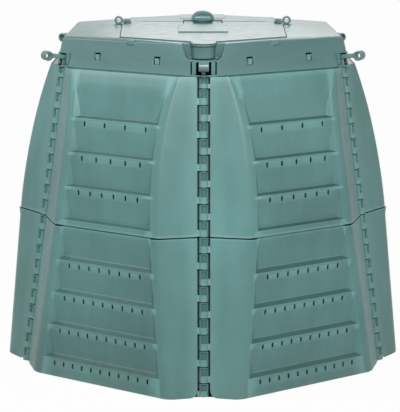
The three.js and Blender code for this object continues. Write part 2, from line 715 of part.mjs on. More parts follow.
function skirtWindows(shift) {
  const half = WINDOW_SIZE / 2;
  const z = RIM_HEIGHT + WINDOW_RISE;
  const pair = [-1, 1].map((side) => {
    const x = shift + side * WINDOW_OFFSET;
    return box(
      [x - half, skirtFaceAt(z) - OVERRUN, z - half],
      [x + half, skirtFaceAt(z) + OVERRUN, z + half],
    );
  });
  return joined(pair);
}

function flapCatch() {
  const face = skirtFaceAt(EAVE_HEIGHT);
  const foot = EAVE_HEIGHT - EAVE_DIP - CATCH_HEIGHT / 2;
  return box(
    [-CATCH_WIDTH / 2, face - CATCH_PROUD, foot],
    [CATCH_WIDTH / 2, face - CATCH_PROUD + CATCH_THICKNESS, foot + CATCH_HEIGHT],
  );
}

const HUB_TOP = CROWN_HEIGHT + FLAP_HEIGHT;
const HUB_FOOT = CROWN_HEIGHT - ROOF_THICKNESS;
const HINGE_HEIGHT = CROWN_HEIGHT + HINGE_RISE;

function roofLug(side) {
  const half = HINGE_LENGTH / 2;
  const x = side * HINGE_LUG_X;
  const foot = crownAt(HINGE_RADIUS) - ROOF_THICKNESS;
  const post = box([x - half, -HINGE_RADIUS, foot], [x + half, HINGE_RADIUS, HINGE_HEIGHT]);
  const eye = barAlong("x", HINGE_RADIUS, HINGE_LENGTH, [x, 0, HINGE_HEIGHT], HINGE_SEGMENTS);
  return post.add(eye);
}

// A solid turned round the bin's axis by a number of sixths of a turn.
const turned = (solid, turns) => solidOf(geometryOf(solid).rotateZ(turns * 2 * HALF_ANGLE));

// The square hub on the bridge, and the hollow under it.
function hubBlock(inset, foot) {
  const half = HUB_HALF_WIDTH - inset;
  return box([-half, -half, foot], [half, half, HUB_TOP - inset]);
}

function roof() {
  const foot = RIM_HEIGHT + SEAT_GAP;
  const outer = roofOutside(foot);
  const mouth = prism(mouthOutline(), BOWL_FLOOR, HUB_TOP);
  const bowl = bowlBlock(0);
  const bowlWalls = bowlBlock(ROOF_THICKNESS).intersect(outer);
  const recess = flapRecess();
  const notch = cornerNotch();
  const halfTurn = SIDES / 2;
  const hub = hubBlock(0, HUB_FOOT);
  const under = HUB_FOOT - OVERRUN;
  const hubHollow = hubBlock(HUB_SKIN, under);
  const shell = cutFrom(outer, [roofInside(foot - OVERRUN), mouth, turned(mouth, halfTurn)]);
  const ring = joined([shell, bowlWalls, turned(bowlWalls, halfTurn)]);
  const recessed = cutFrom(ring, [recess, turned(recess, halfTurn), pinEyePocket()]);
  const lugs = [roofLug(-1), roofLug(1)];
  const catches = CATCH_TURNS.map((turns) => turned(flapCatch(), turns));
  const body = joined([recessed, hub, ...lugs, ...catches]);
  const around = Array.from({ length: SIDES }, (_, i) => i);
  const pinLength = 2 * (HINGE_LUG_X + HINGE_LENGTH);
  return cutFrom(body, [
    bowl,
    turned(bowl, halfTurn),
    ...around.map((i) => turned(notch, i)),
    ...WINDOW_SHIFT_SHARES.map((share, i) =>
      turned(skirtWindows(share * WINDOW_SHIFT), i + FIRST_WALL_TURN),
    ),
    hubHollow,
    upright(SPINDLE_RADIUS + SPINDLE_CLEARANCE, under, HUB_TOP + OVERRUN),
    ...ventHoles(under, HUB_TOP + OVERRUN),
    barAlong("x", HINGE_BORE_RADIUS, pinLength, [0, 0, HINGE_HEIGHT], HINGE_SEGMENTS),
  ]);
}

// Flap, drawn on the front half and hinged on the X axis

function flapOutline() {
  const pocketOut = HINGE_LUG_X + HINGE_POCKET_LENGTH / 2;
  const pocketIn = HINGE_LUG_X - HINGE_POCKET_LENGTH / 2;
  const hubEdge = HUB_HALF_WIDTH + HUB_GAP;
  const right = [
    [FLAP_CORNER_X, -FLAP_CORNER_Y],
    [Math.max(pocketOut, FLAP_REAR_HALF_WIDTH), -HINGE_POCKET_DEPTH],
    [pocketIn, -HINGE_POCKET_DEPTH],
    [pocketIn, -FLAP_REAR_GAP],
    [hubEdge, -FLAP_REAR_GAP],
    [hubEdge, -hubEdge],
  ];
  const left = right.map(([x, y]) => [-x, y]).reverse();
  return [[0, -FLAP_TIP], ...right, ...left].map(([x, y]) => new THREE.Vector2(x, y));
}

// Tilts what is drawn level at the hinge line so that it lies on the crown.
function onCrown(solid) {
  const geometry = geometryOf(solid).translate(0, 0, -CROWN_HEIGHT).rotateX(CROWN_TILT);
  return solidOf(geometry.translate(0, 0, CROWN_HEIGHT));
}

function gripDrum() {
  const reach = Math.acos((GRIP_MIDDLE - GRIP_BACK) / GRIP_RADIUS);
  const outline = Array.from({ length: GRIP_SEGMENTS + 1 }, (_, i) => {
    const angle = -Math.PI / 2 + lerp(-reach, reach, i / GRIP_SEGMENTS);
    const x = GRIP_RADIUS * Math.cos(angle);
    return new THREE.Vector2(x, GRIP_RADIUS * Math.sin(angle) - GRIP_MIDDLE);
  });
  return prism(outline, GRIP_FOOT, crownAt(GRIP_MIDDLE + GRIP_RADIUS) + FLAP_HEIGHT / 2);
}

function flapKnuckle(middle) {
  const half = HINGE_LENGTH / 2;
  const section = [
    [-LEAF_REACH, HUB_TOP],
    [-HINGE_RADIUS, HINGE_HEIGHT],
    [0, HINGE_HEIGHT],
    [0, HUB_TOP - FLAP_SKIN],
    [-LEAF_REACH, HUB_TOP - FLAP_SKIN],
  ];
  const ends = [middle - half, middle + half];
  const leaf = hull(ends.flatMap((x) => section.map(([y, z]) => point(x, y, z))));
  const centre = [middle, 0, HINGE_HEIGHT];
  return leaf.add(barAlong("x", HINGE_RADIUS, HINGE_LENGTH, centre, HINGE_SEGMENTS));
}

// The low rise of a flap's top, from its edges to its middle.
function flapRise(outline, top) {
  const sunk = top - FLAP_SKIN / 2;
  const edge = outline.map(({ x, y }) => point(x, y, sunk));
  const peak = FLAP_RISE.flatMap(([x, reach, rise]) => mirroredPair(x, -reach, top + rise));
  return hull([...edge, ...peak]).intersect(prism(outline, sunk, HINGE_HEIGHT + OVERRUN));
}

// A wedge across the flap, which ends in a small step towards the tip.
function flapStep(top) {
  return hull([
    ...mirroredPair(STEP_HALF_WIDTH, -STEP_REAR, top + STEP_REAR_RISE),
    ...mirroredPair(STEP_HALF_WIDTH, -STEP_FRONT, top + STEP_FRONT_RISE),
    ...mirroredPair(STEP_HALF_WIDTH, -STEP_FRONT, top),
    ...mirroredPair(STEP_HALF_WIDTH, -STEP_REAR, top),
  ]);
}

function flap() {
  const outline = flapOutline();
  const top = CROWN_HEIGHT + FLAP_HEIGHT;
  const plate = prism(outline, CROWN_HEIGHT + SEAT_GAP, top);
  const hollow = prism(offsetLine(outline, FLAP_RIM, true), CROWN_HEIGHT - OVERRUN, top - FLAP_SKIN);
  const disc = gripDisc(0, CROWN_HEIGHT + SEAT_GAP, top);
  const risen = [flapRise(outline, top), flapStep(top)];
  const pan = onCrown(joined([plate.subtract(hollow), disc, ...risen]));
  const spread = HINGE_LENGTH + HINGE_SIDE_GAP;
  const knucklePair = [HINGE_LUG_X + spread, -HINGE_LUG_X + spread].map(flapKnuckle);
  const hinge = [0, 0, HINGE_HEIGHT];
  const bore = barAlong("x", HINGE_BORE_RADIUS, 2 * PIN_EYE_X, hinge, HINGE_SEGMENTS);
  return joined([pan, gripDrum(), ...knucklePair]).subtract(bore);
}

// Ringed hinge pin on the right-hand side

function hingePin() {
  const lastKnuckle = HINGE_LUG_X - HINGE_LENGTH - HINGE_SIDE_GAP;
  const inner = lastKnuckle - HINGE_LENGTH / 2 - PIN_TAIL;
  const outer = PIN_EYE_X - (PIN_EYE_RADIUS + PIN_EYE_BORE_RADIUS) / 2;
  const centre = [(inner + outer) / 2, 0, HINGE_HEIGHT];
  const shaft = barAlong("x", HINGE_PIN_RADIUS, outer - inner, centre, HINGE_SEGMENTS);
  const eyeCentre = [PIN_EYE_X, 0, HINGE_HEIGHT + PIN_EYE_RISE];
  const eye = barAlong("y", PIN_EYE_RADIUS, PIN_EYE_THICKNESS, eyeCentre, EYE_SEGMENTS);
  const run = PIN_EYE_THICKNESS + OVERRUN;
  return shaft.add(eye).subtract(barAlong("y", PIN_EYE_BORE_RADIUS, run, eyeCentre, EYE_SEGMENTS));
}

// Vent

function ventHoles(foot, top) {
  return regularOutline(VENT_CIRCLE_RADIUS, VENT_HOLES).map(({ x, y }) => {
    const outline = regularOutline(VENT_HOLE_RADIUS, VENT_SEGMENTS);
    return prism(outline.map((p) => new THREE.Vector2(p.x + x, p.y + y)), foot, top);
  });
}

const KNOB_FOOT = HUB_TOP + SEAT_GAP;

// A domed turn knob on a dished foot, scooped front and back for the fingers.
function ventKnob() {
  const crown = KNOB_HEIGHT - KNOB_RIM_HEIGHT;
  const arch = Array.from({ length: KNOB_CROWN_STEPS + 1 }, (_, i) => {
    const angle = (Math.PI / 2) * (i / KNOB_CROWN_STEPS);
    const rise = KNOB_RIM_HEIGHT + crown * Math.sin(angle);
    return new THREE.Vector2(i < KNOB_CROWN_STEPS ? KNOB_RADIUS * Math.cos(angle) : 0, rise);
  });
  const profile = [new THREE.Vector2(0, 0), new THREE.Vector2(KNOB_FOOT_RADIUS, 0), ...arch];
  const dome = new THREE.LatheGeometry(profile, KNOB_SEGMENTS);
  const body = solidOf(dome.rotateX(Math.PI / 2).translate(0, 0, KNOB_FOOT));
  const scoops = [-1, 1].map((side) => {
    const axis = [0, side * SCOOP_REACH, KNOB_FOOT + SCOOP_RISE];
    return barAlong("x", SCOOP_RADIUS, 2 * KNOB_RADIUS, axis, KNOB_SEGMENTS);
  });
  const spindle = upright(SPINDLE_RADIUS, KNOB_FOOT - SPINDLE_LENGTH, KNOB_FOOT + KNOB_RIM_HEIGHT);
  return cutFrom(body, scoops).add(spindle);
}

const DISC_TOP = HUB_TOP - HUB_SKIN - SEAT_GAP;
const CLIP_TOP = DISC_TOP - DISC_THICKNESS - SEAT_GAP;

function ventDisc() {
  const foot = DISC_TOP - DISC_THICKNESS;
  const spindleHole = upright(SPINDLE_RADIUS + SEAT_GAP, foot - OVERRUN, DISC_TOP + OVERRUN);
  const disc = upright(DISC_RADIUS, foot, DISC_TOP);
  return cutFrom(disc, [spindleHole, ...ventHoles(foot - OVERRUN, DISC_TOP + OVERRUN)]);
}

function spindleClip() {
  const foot = CLIP_TOP - CLIP_THICKNESS;
  const hole = upright(SPINDLE_RADIUS + SEAT_GAP, foot - OVERRUN, CLIP_TOP + OVERRUN);
  return upright(CLIP_RADIUS, foot, CLIP_TOP).subtract(hole);
}

// The bin

const bin = new THREE.Group();

function addPiece(name, geometry, look, turn = 0) {
  const mesh = new THREE.Mesh(geometry, new THREE.MeshStandardMaterial(look));
  mesh.name = name;
  mesh.rotation.z = turn;
  bin.add(mesh);
}

function addRound(name, solid, look, firstTurn) {
  const geometry = geometryOf(solid);
  for (let i = 0; i < SIDES; i++) {
    addPiece(`${name}_${i + 1}`, geometry, look, (firstTurn + i) * 2 * HALF_ANGLE);
  }
}

addRound("lower_wall", lowerWall(), PLASTIC, FIRST_WALL_TURN);
const upperWalls = new Map(
  [-1, 0, 1].map((share) => [share, geometryOf(upperWall(share * WINDOW_SHIFT))]),
);
WINDOW_SHIFT_SHARES.forEach((share, i) => {
  const turn = (FIRST_WALL_TURN + i) * 2 * HALF_ANGLE;
  addPiece(`upper_wall_${i + 1}`, upperWalls.get(share), PLASTIC, turn);
});
addRound("seam_rod", seamRod(), DARK_PLASTIC, 0);
addPiece("roof", geometryOf(roof()), LID_PLASTIC);
const flapGeometry = geometryOf(flap());
addPiece("front_flap", flapGeometry, LID_PLASTIC);
addPiece("rear_flap", flapGeometry, LID_PLASTIC, Math.PI);
const pinGeometry = geometryOf(hingePin());
addPiece("right_hinge_pin", pinGeometry, DARK_PLASTIC);
addPiece("left_hinge_pin", pinGeometry, DARK_PLASTIC, Math.PI);
addPiece("vent_knob", geometryOf(ventKnob()), LID_PLASTIC);
addPiece("vent_disc", geometryOf(ventDisc()), DARK_PLASTIC);
addPiece("spindle_clip", geometryOf(spindleClip()), DARK_PLASTIC);

export default bin;
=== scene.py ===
"""Looks of a hexagonal garden compost bin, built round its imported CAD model.

Shapes are drawn in millimetres with +Z up and the front seam at -Y. A wall is drawn facing -Y
and is then turned into its place round the bin.
"""

import math

import bmesh
import bpy
from mathutils import Matrix, Vector

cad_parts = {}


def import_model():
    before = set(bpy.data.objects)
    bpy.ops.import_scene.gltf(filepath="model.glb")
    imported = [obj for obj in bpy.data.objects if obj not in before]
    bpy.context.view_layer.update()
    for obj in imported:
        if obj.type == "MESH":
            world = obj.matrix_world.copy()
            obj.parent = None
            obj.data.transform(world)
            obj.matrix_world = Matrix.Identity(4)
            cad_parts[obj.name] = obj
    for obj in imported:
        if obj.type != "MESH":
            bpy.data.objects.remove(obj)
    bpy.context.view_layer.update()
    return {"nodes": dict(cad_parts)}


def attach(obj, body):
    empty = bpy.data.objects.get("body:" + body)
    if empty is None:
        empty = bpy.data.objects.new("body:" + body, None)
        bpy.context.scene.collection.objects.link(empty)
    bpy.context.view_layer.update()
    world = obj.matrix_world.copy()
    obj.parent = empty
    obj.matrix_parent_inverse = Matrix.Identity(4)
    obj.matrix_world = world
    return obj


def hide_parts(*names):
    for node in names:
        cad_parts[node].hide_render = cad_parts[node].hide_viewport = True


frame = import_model()

MM = 0.001
SIDES = 6
SIXTH = 2 * math.pi / SIDES
FACE_TURN = 0.5  # sixths from a seam to the middle of the next wall

# Body
BASE_SEAM_RADIUS = 648
RIM_SEAM_RADIUS = 497
SPLIT_HEIGHT = 470.5
SPLIT_GAP = 4
RIM_HEIGHT = 933

# Wall plan, at the base, the split and the rim
RIDGE_LEAD = (19, 28, 11)
RIDGE_CURVE_POWER = 1.2
WING = (106, 133, 72)
WING_CURVE_POWER = 3
RIDGE_CUT = (22, 5)
RIDGE_STEPS = 5
RIDGE_FLARE = 8  # the lower ridges bend away from the seam below the split
FLARE_HEIGHT = 22
PANEL_THICKNESS = 4
WING_GAP = 18.5
WING_LEAD = 6
WING_TIP_SHARE = 0.3  # how far the inner line's end reaches towards the wing's edge
FOOT_CORNER_RADIUS = 22
FOOT_CORNER_SHARES = (0.08, 0.25, 0.5, 1)  # heights of the rows in the foot corner
EDGE_ROUND = 1

# Louvres
FIELDS = 4
FIELD_HEIGHT = 92
FIELD_DEPTH = 16
FIELD_MARGIN = (29.5, 21)  # ridge to the field's end, at the split and at the rim
FIELD_SLANT = 14
LIP_PROFILE = ((-1.5, 0), (-0.3, 0.03))  # (mm above the lip, share of the depth)
LEDGE_PROFILE = ((0.1, 0.14), (0.82, 0.86), (1.05, 0.96), (1.5, 1))  # (share of the drop, of the depth)
SIDE_PROFILE = (  # share of the slant, mm beside it, share of the depth
    (0, -1.2, 1),
    (0.08, 0, 0.94),
    (0.92, 0, 0.06),
    (1, 1.2, 0),
)
BACK_LEAD = 4.5
CURVE_ROWS = 4
TOP_ROWS = 3  # from the highest field to the wall's top

# Slots
SLOT_HALF_WIDTH = 3.3
SLOT_HALF_HEIGHT = 7.5
SLOT_ROUND = 1.4
SLOT_DROP = 16

# Rows of walls. A field's slots fill its spread, a share of its half width. The knuckles run from
# the split to the seam's end
UPPER_LEDGE_RISE = 20
SEAM_MARGIN = 3
LOWER = {
    "foot": 0,
    "top": SPLIT_HEIGHT - SPLIT_GAP / 2,
    "first_ledge": 57.5,
    "pitch": 103,
    "drop": 8.5,
    "slots": (11, 10, 9, 8),
    "spreads": (0.82, 0.795, 0.775, 0.755),
    "seam_end": SEAM_MARGIN,
}
UPPER = {
    "foot": SPLIT_HEIGHT + SPLIT_GAP / 2,
    "top": RIM_HEIGHT,
    "first_ledge": SPLIT_HEIGHT + UPPER_LEDGE_RISE,
    "pitch": 101.2,
    "drop": 4,
    "slots": (0, 6, 5, 4),
    "spreads": (0, 0.7, 0.705, 0.725),
    "seam_end": RIM_HEIGHT - SEAM_MARGIN,
}

# Knuckles
KNUCKLE_PITCH = 47.4
KNUCKLE_RADIUS = 14.2
KNUCKLE_GAP = 2.4
KNUCKLE_EDGE = 0.9
KNUCKLE_STEP = 20  # degrees between plain columns
POCKET_ARC = (-38, 50)  # degrees from straight out, towards the knuckle's own wing
POCKET_RIBS = ((-14, -6), (14, 22))
POCKET_RISE = (0.46, 0.95)  # shares of the knuckle's length
POCKET_DEPTH = 5.5
POCKET_WALL_ARC = 2  # degrees
RIB_DEPTH = 2.5
WEB_SHARE = 0.44  # of the knuckle's length

# Near-black sheets of painted shade behind the knuckles and behind the slots
RETURN_THICKNESS = 2
RETURN_GAP = 1.3  # from the knuckles, and from the seam's middle
BAFFLE_DEPTH = 10  # behind the louvre's floor
BAFFLE_REACH = 16  # above and below the slots' middle
BAFFLE_END = 30  # past the last slot

# Lap behind the split
LAP_ROOT = 14
LAP_HEIGHT = 10
LAP_CLEARANCE = 0.9
LAP_THICKNESS = 3

# Seam rods
ROD_WIDTH = 11
ROD_FOOT = 6
EYE_REACH = 552
EYE_HEIGHT = 968
EYE_RADIUS = 15
EYE_BORE_RADIUS = 8.5
EYE_LENGTH = 30
EYE_ROUND = 2
ARM_WIDTH = 26
ARM_THICKNESS = 13
ARM_DROP = 7

# Upper wall's shoulder and upstand
SHOULDER_THICKNESS = 4
SHOULDER_SETBACK = 1
SKIRT_FOOT_RADIUS = 522
EAVE_RADIUS = 496.5
EAVE_HEIGHT = 1022.5
ROOF_THICKNESS = 4
UPSTAND_CLEARANCE = 0.6
UPSTAND_THICKNESS = 3.5
UPSTAND_HALF_WIDTH = 175
UPSTAND_RISE = 50
WINDOW_SIZE = 23
WINDOW_OFFSET = 105.5
WINDOW_SHIFT = 10
WINDOW_SHIFTS = (WINDOW_SHIFT, 0, -WINDOW_SHIFT) * 2
WINDOW_RISE = 37.5
WINDOW_HEIGHT = RIM_HEIGHT + WINDOW_RISE
TAB_CLEARANCE = 4.5
TAB_REACH = 3.2

# Roof and flaps
ROOF_ROUND = 1.6
FLAP_ROUND = 0.9
SOFTENED_ANGLE = 28  # degrees from which a CAD edge is rounded
FLAT_ANGLE = 1
WELD_DISTANCE = 1e-5  # metres

# Corner notches of the roof, and the near-black bands of painted shade in the grooves round the flaps'
# grips
CORNER_NOTCH_HALF_WIDTH = 38
CORNER_NOTCH_TOP = 974
NOTCH_BAR_RISE = 5
NOTCH_BAR_TOP = RIM_HEIGHT + NOTCH_BAR_RISE
CHEEK_INNER = 22
CHEEK_OUTER = 34
CHEEK_FRONT = 23  # behind the skirt's foot corner
CHEEK_BACK = 44
GRIP_MIDDLE = 456
GRIP_ARC = 78  # degrees to each side
BAND_EDGE = EDGE_ROUND / 3
GRIP_GROOVE_SHADES = (  # name, height, thickness, radius
    ("lower_groove_shade", 1016.6, 2, 37),
    ("upper_groove_shade", 1024.6, 1.6, 38.3),
)

# Hinge pins and knob
HINGE_HEIGHT = 1048
PIN_RADIUS = 4
PIN_INNER = 233
PIN_OUTER = 262
PIN_EYE_X = 272.5
PIN_EYE_HEIGHT = 1051
PIN_EYE_RADIUS = 14
PIN_EYE_BORE_RADIUS = 7.5
PIN_EYE_THICKNESS = 9
KNOB_FOOT = 1042.3
KNOB_RADIUS = 38
KNOB_HEIGHT = 41
KNOB_FOOT_RADIUS = 30
KNOB_RIM_RISE = 11  # widest place above the foot
SCOOP_RADIUS = 14
SCOOP_REACH = 40
SCOOP_RISE = 23.5
SPINDLE_RADIUS = 9
SPINDLE_FOOT = 1018.3

# Mesh
ROUND_STEPS = 32
DOME_STEPS = ROUND_STEPS // 3
BEVEL_SEGMENTS = 2
BEVEL_PROFILE = 0.5  # a circle's
SHARP_ANGLE = 32  # degrees from which a piece's edge is shaded sharp


def lerp(a, b, share):
    return a + (b - a) * share


def profile_at(profile, place):
    """The value of a broken line of (place, value) pairs, held level past its ends."""
    if place <= profile[0][0]:
        return profile[0][1]
    for (x0, y0), (x1, y1) in zip(profile, profile[1:]):
        if place <= x1:
            return lerp(y0, y1, (place - x0) / (x1 - x0))
    return profile[-1][1]


# Mesh helpers


def loft(bm, rings):
    """Skins closed rings of equal length and caps both ends."""
    rows = [[bm.verts.new(place) for place in ring] for ring in rings]
    count = len(rows[0])
    for lower, upper in zip(rows, rows[1:]):
        for i in range(count):
            j = (i + 1) % count
            bm.faces.new((lower[i], lower[j], upper[j], upper[i]))
    bm.faces.new(rows[0][::-1])
    bm.faces.new(rows[-1])


def round_edges(bm, edges, radius):
    bmesh.ops.bevel(
        bm,
        geom=list(edges),
        offset=radius,
        segments=BEVEL_SEGMENTS,
        profile=BEVEL_PROFILE,
        affect="EDGES",
        clamp_overlap=False,
    )


def block(bm, low, high, radius=0.0):
    """A box, with rounded edges if a radius is given."""
    low, high = Vector(low), Vector(high)
    size = high - low
    place = Matrix.Translation((low + high) / 2) @ Matrix.Diagonal((*size, 1))
    made = bmesh.ops.create_cube(bm, size=1, matrix=place)
    if radius:
        edges = {edge for vert in made["verts"] for edge in vert.link_edges}
        round_edges(bm, edges, radius)


def circle(radius, count, place):
    """Points of a circle, each put into space by place(x, y)."""
    angles = [2 * math.pi * i / count for i in range(count)]
    return [place(radius * math.cos(a), radius * math.sin(a)) for a in angles]


def ring_about(bm, axis, centre, radius, bore, length, edge):
    """A round eye with rounded rims, lathed about X or Y."""
    half = length / 2
    middle = edge / 3  # from the middle point of a rounding to each of its faces
    profile = [
        (bore, -half + edge),
        (bore + edge, -half),
        (radius - edge, -half),
        (radius - middle, -half + middle),
        (radius, -half + edge),
        (radius, half - edge),
        (radius - middle, half - middle),
        (radius - edge, half),
        (bore + edge, half),
        (bore, half - edge),
    ]
    rows = []
    for i in range(ROUND_STEPS):
        angle = 2 * math.pi * i / ROUND_STEPS
        row = []
        for reach, along in profile:
            a, b = reach * math.cos(angle), reach * math.sin(angle)
            offset = (along, a, b) if axis == "x" else (a, along, b)
            row.append(bm.verts.new(Vector(centre) + Vector(offset)))
        rows.append(row)
    for i, row in enumerate(rows):
        after = rows[(i + 1) % len(rows)]
        for k in range(len(profile)):
            m = (k + 1) % len(profile)
            bm.faces.new((row[k], row[m], after[m], after[k]))


def mesh_from(bm, name, turn=0.0):
    """Turns millimetres into metres, faces outwards, and returns a mesh."""
    bmesh.ops.recalc_face_normals(bm, faces=bm.faces)
    bm.transform(Matrix.Rotation(turn, 4, "Z") @ Matrix.Scale(MM, 4))
    mesh = bpy.data.meshes.new(name)
    bm.to_mesh(mesh)
    bm.free()
    return mesh


def joined(name, meshes):
    """One mesh of several."""
    bm = bmesh.new()
    for mesh in meshes:
        bm.from_mesh(mesh)
    result = bpy.data.meshes.new(name)
    bm.to_mesh(result)
    bm.free()
    return result


def carved(mesh, cutter):
    """The mesh less the cutter."""
    body = bpy.data.objects.new("carved", mesh)
    tool = bpy.data.objects.new("cutter", cutter)
    for obj in (body, tool):
        bpy.context.collection.objects.link(obj)
    cut = body.modifiers.new("cut", "BOOLEAN")
    cut.operation = "DIFFERENCE"
    cut.solver = "EXACT"
    cut.object = tool
    depsgraph = bpy.context.evaluated_depsgraph_get()
    result = bpy.data.meshes.new_from_object(body.evaluated_get(depsgraph))
    for obj in (body, tool):
        bpy.data.objects.remove(obj)
    return result


def piece(name, mesh, body, material, replaced=()):
    """Puts a mesh into the scene as a piece that rides on a CAD body."""
    mesh.shade_smooth()
    mesh.set_sharp_from_angle(angle=math.radians(SHARP_ANGLE))
    obj = bpy.data.objects.new(name, mesh)
    bpy.context.collection.objects.link(obj)
    mesh.materials.clear()
    mesh.materials.append(material)
    normals = obj.modifiers.new("normals", "WEIGHTED_NORMAL")
    normals.keep_sharp = True
    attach(obj, body)
    if replaced:
        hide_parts(*replaced)


# Materials

# Sockets of a Mix node that mixes colours
MIX_FACTOR = 0
MIX_FIRST = 6
MIX_SECOND = 7
MIX_RESULT = 2

# Plastic. A range gives the noise, pointiness or steepness between which a look sets in
CLOUD_SCALE = 3.2
CLOUD_DETAIL = 3
CLOUD_RANGE = (0.3, 0.72)
STREAK_SCALE = 26
STREAK_DETAIL = 4
STREAK_STRETCH = (1, 1, 0.18)
STREAK_RANGE = (0.35, 0.7)
STREAK_FADE = 3  # times fainter than the clouds
# Lighter edges: wear, and a painted highlight along the ridges
EDGE_RANGE = (0.515, 0.6)
EDGE_WEAR_AND_HIGHLIGHT = 0.5
EDGE_GAIN = 1.7
EDGE_LIFT = 0.03
# Painted shade: hollows darker
HOLLOW_RANGE = (0.4, 0.48)
HOLLOW_SHADE = 0.6
HOLLOW_GAIN = 0.3
# Painted shade on faces that look upwards, such as the louvres' ledges
UPWARD_RANGE = (0.45, 0.75)
UPWARD_GAIN = 0.25
# Painted shade near the ground, dust-toned and patchy
GROUND_SHADE_COLOUR = (0.2, 0.19, 0.14)
GROUND_SHADE_SHARE = 0.22  # at the ground
GROUND_SHADE_TOP = 0.12  # metres
GROUND_SHADE_SCALE = 14
GROUND_SHADE_DETAIL = 5
GROUND_SHADE_RANGE = (0.35, 0.65)
GLOSS_SCALE = 30
GLOSS_DETAIL = 1
GLOSS_RANGE = (0.3, 0.7)
GLOSS_SPREAD = (-0.03, 0.04)
GRAIN_SCALE = 380
GRAIN_DETAIL = 2
GRAIN_DEPTH = 0.0006  # metres
WALL_COLOUR = (0.1, 0.225, 0.215)
# Darker than the walls' plastic: painted shade for the roof's skirt
LID_COLOUR = (0.062, 0.148, 0.142)
ROD_COLOUR = (0.07, 0.15, 0.14)
SHADED_COLOUR = (0.008, 0.02, 0.019)  # painted shade: near-black plastic for places that no light reaches


def new_material(name):
    material = bpy.data.materials.new(name)
    material.use_nodes = True
    tree = material.node_tree
    return material, tree, tree.nodes["Principled BSDF"]


def feed(tree, value, socket):
    """Gives an input a socket to read, a number or a colour."""
    if isinstance(value, bpy.types.NodeSocket):
        tree.links.new(value, socket)
    elif isinstance(value, tuple):
        socket.default_value = (*value, 1)
    else:
        socket.default_value = value


def shade(colour, gain, lift=0.0):
    """A colour made darker or lighter."""
    return tuple(min(1, c * gain + lift) for c in colour)


def noise(tree, scale, detail, stretch=(1, 1, 1)):
    """Noise over the object's own coordinates, as a factor socket."""
    coordinates = tree.nodes.new("ShaderNodeTexCoord")
    mapping = tree.nodes.new("ShaderNodeMapping")
    mapping.inputs["Scale"].default_value = stretch
    texture = tree.nodes.new("ShaderNodeTexNoise")
    texture.inputs["Scale"].default_value = scale
    texture.inputs["Detail"].default_value = detail
    tree.links.new(coordinates.outputs["Object"], mapping.inputs["Vector"])
    tree.links.new(mapping.outputs["Vector"], texture.inputs["Vector"])
    return texture.outputs["Fac"]


def ramp(tree, factor, places, colours):
    """A ramp between two colours at two places of a factor."""
    node = tree.nodes.new("ShaderNodeValToRGB")
    for element, place, colour in zip(node.color_ramp.elements, places, colours):
        element.position = place
        element.color = (*colour, 1)
    tree.links.new(factor, node.inputs["Fac"])
    return node.outputs["Color"]


def mixed(tree, factor, first, second, kind="MIX"):
    """Two colours mixed by a factor."""
    node = tree.nodes.new("ShaderNodeMix")
    node.data_type = "RGBA"
    node.blend_type = kind
    feed(tree, factor, node.inputs[MIX_FACTOR])
    feed(tree, first, node.inputs[MIX_FIRST])
    feed(tree, second, node.inputs[MIX_SECOND])
    return node.outputs[MIX_RESULT]


def maths(tree, operation, first, second):
    """The result of an operation on two values."""
    node = tree.nodes.new("ShaderNodeMath")
    node.operation = operation
    feed(tree, first, node.inputs[0])
    feed(tree, second, node.inputs[1])
    return node.outputs[0]


def map_range(tree, value, places, results):
    """A value that runs from one result to the other between two places."""
    node = tree.nodes.new("ShaderNodeMapRange")
    names = ("From Min", "From Max", "To Min", "To Max")
    for name, number in zip(names, (*places, *results)):
        node.inputs[name].default_value = number
    tree.links.new(value, node.inputs["Value"])
    return node.outputs["Result"]


def upright_part(tree, vector):
    """A vector's Z."""
    node = tree.nodes.new("ShaderNodeSeparateXYZ")
    tree.links.new(vector, node.inputs[0])
    return node.outputs["Z"]


def flow_marks(tree, colour, clouding):
    """The plastic's colour, with soft clouds and upright streaks from its moulding."""
    cloud_colours = (shade(colour, 1 - clouding), shade(colour, 1 + clouding))
    clouds = ramp(tree, noise(tree, CLOUD_SCALE, CLOUD_DETAIL), CLOUD_RANGE, cloud_colours)
    fade = clouding / STREAK_FADE
    pattern = noise(tree, STREAK_SCALE, STREAK_DETAIL, STREAK_STRETCH)
    streaks = ramp(tree, pattern, STREAK_RANGE, ((1 - fade,) * 3, (1 + fade,) * 3))
    return mixed(tree, 1.0, clouds, streaks, "MULTIPLY")


def wear_and_painted_light(tree, clean, colour, ledge_shade):
    """Lighter edges from wear and painted highlights, and painted shade in hollows, on ledges and,
    dust-toned in patches, near the ground.
    """
    geometry = tree.nodes.new("ShaderNodeNewGeometry")
    pointiness = geometry.outputs["Pointiness"]
    # Edges lighter by wear and by a painted highlight along the ridges
    edges = map_range(tree, pointiness, EDGE_RANGE, (0.0, EDGE_WEAR_AND_HIGHLIGHT))
    looks = mixed(tree, edges, clean, shade(colour, EDGE_GAIN, EDGE_LIFT))
    # Painted shade: hollows darker
    hollows = map_range(tree, pointiness, HOLLOW_RANGE, (HOLLOW_SHADE, 0.0))
    looks = mixed(tree, hollows, looks, shade(colour, HOLLOW_GAIN))
    # Painted shade on faces that look upwards, such as the louvres' ledges
    facing = upright_part(tree, geometry.outputs["Normal"])
    ledges = map_range(tree, facing, UPWARD_RANGE, (0.0, ledge_shade))
    looks = mixed(tree, ledges, looks, shade(colour, UPWARD_GAIN))
    # Painted shade near the ground, dust-toned and patchy
    height = upright_part(tree, geometry.outputs["Position"])
    low = map_range(tree, height, (0.0, GROUND_SHADE_TOP), (GROUND_SHADE_SHARE, 0.0))
    patches = map_range(tree, noise(tree, GROUND_SHADE_SCALE, GROUND_SHADE_DETAIL), GROUND_SHADE_RANGE, (0.0, 1.0))
    return mixed(tree, maths(tree, "MULTIPLY", low, patches), looks, GROUND_SHADE_COLOUR)


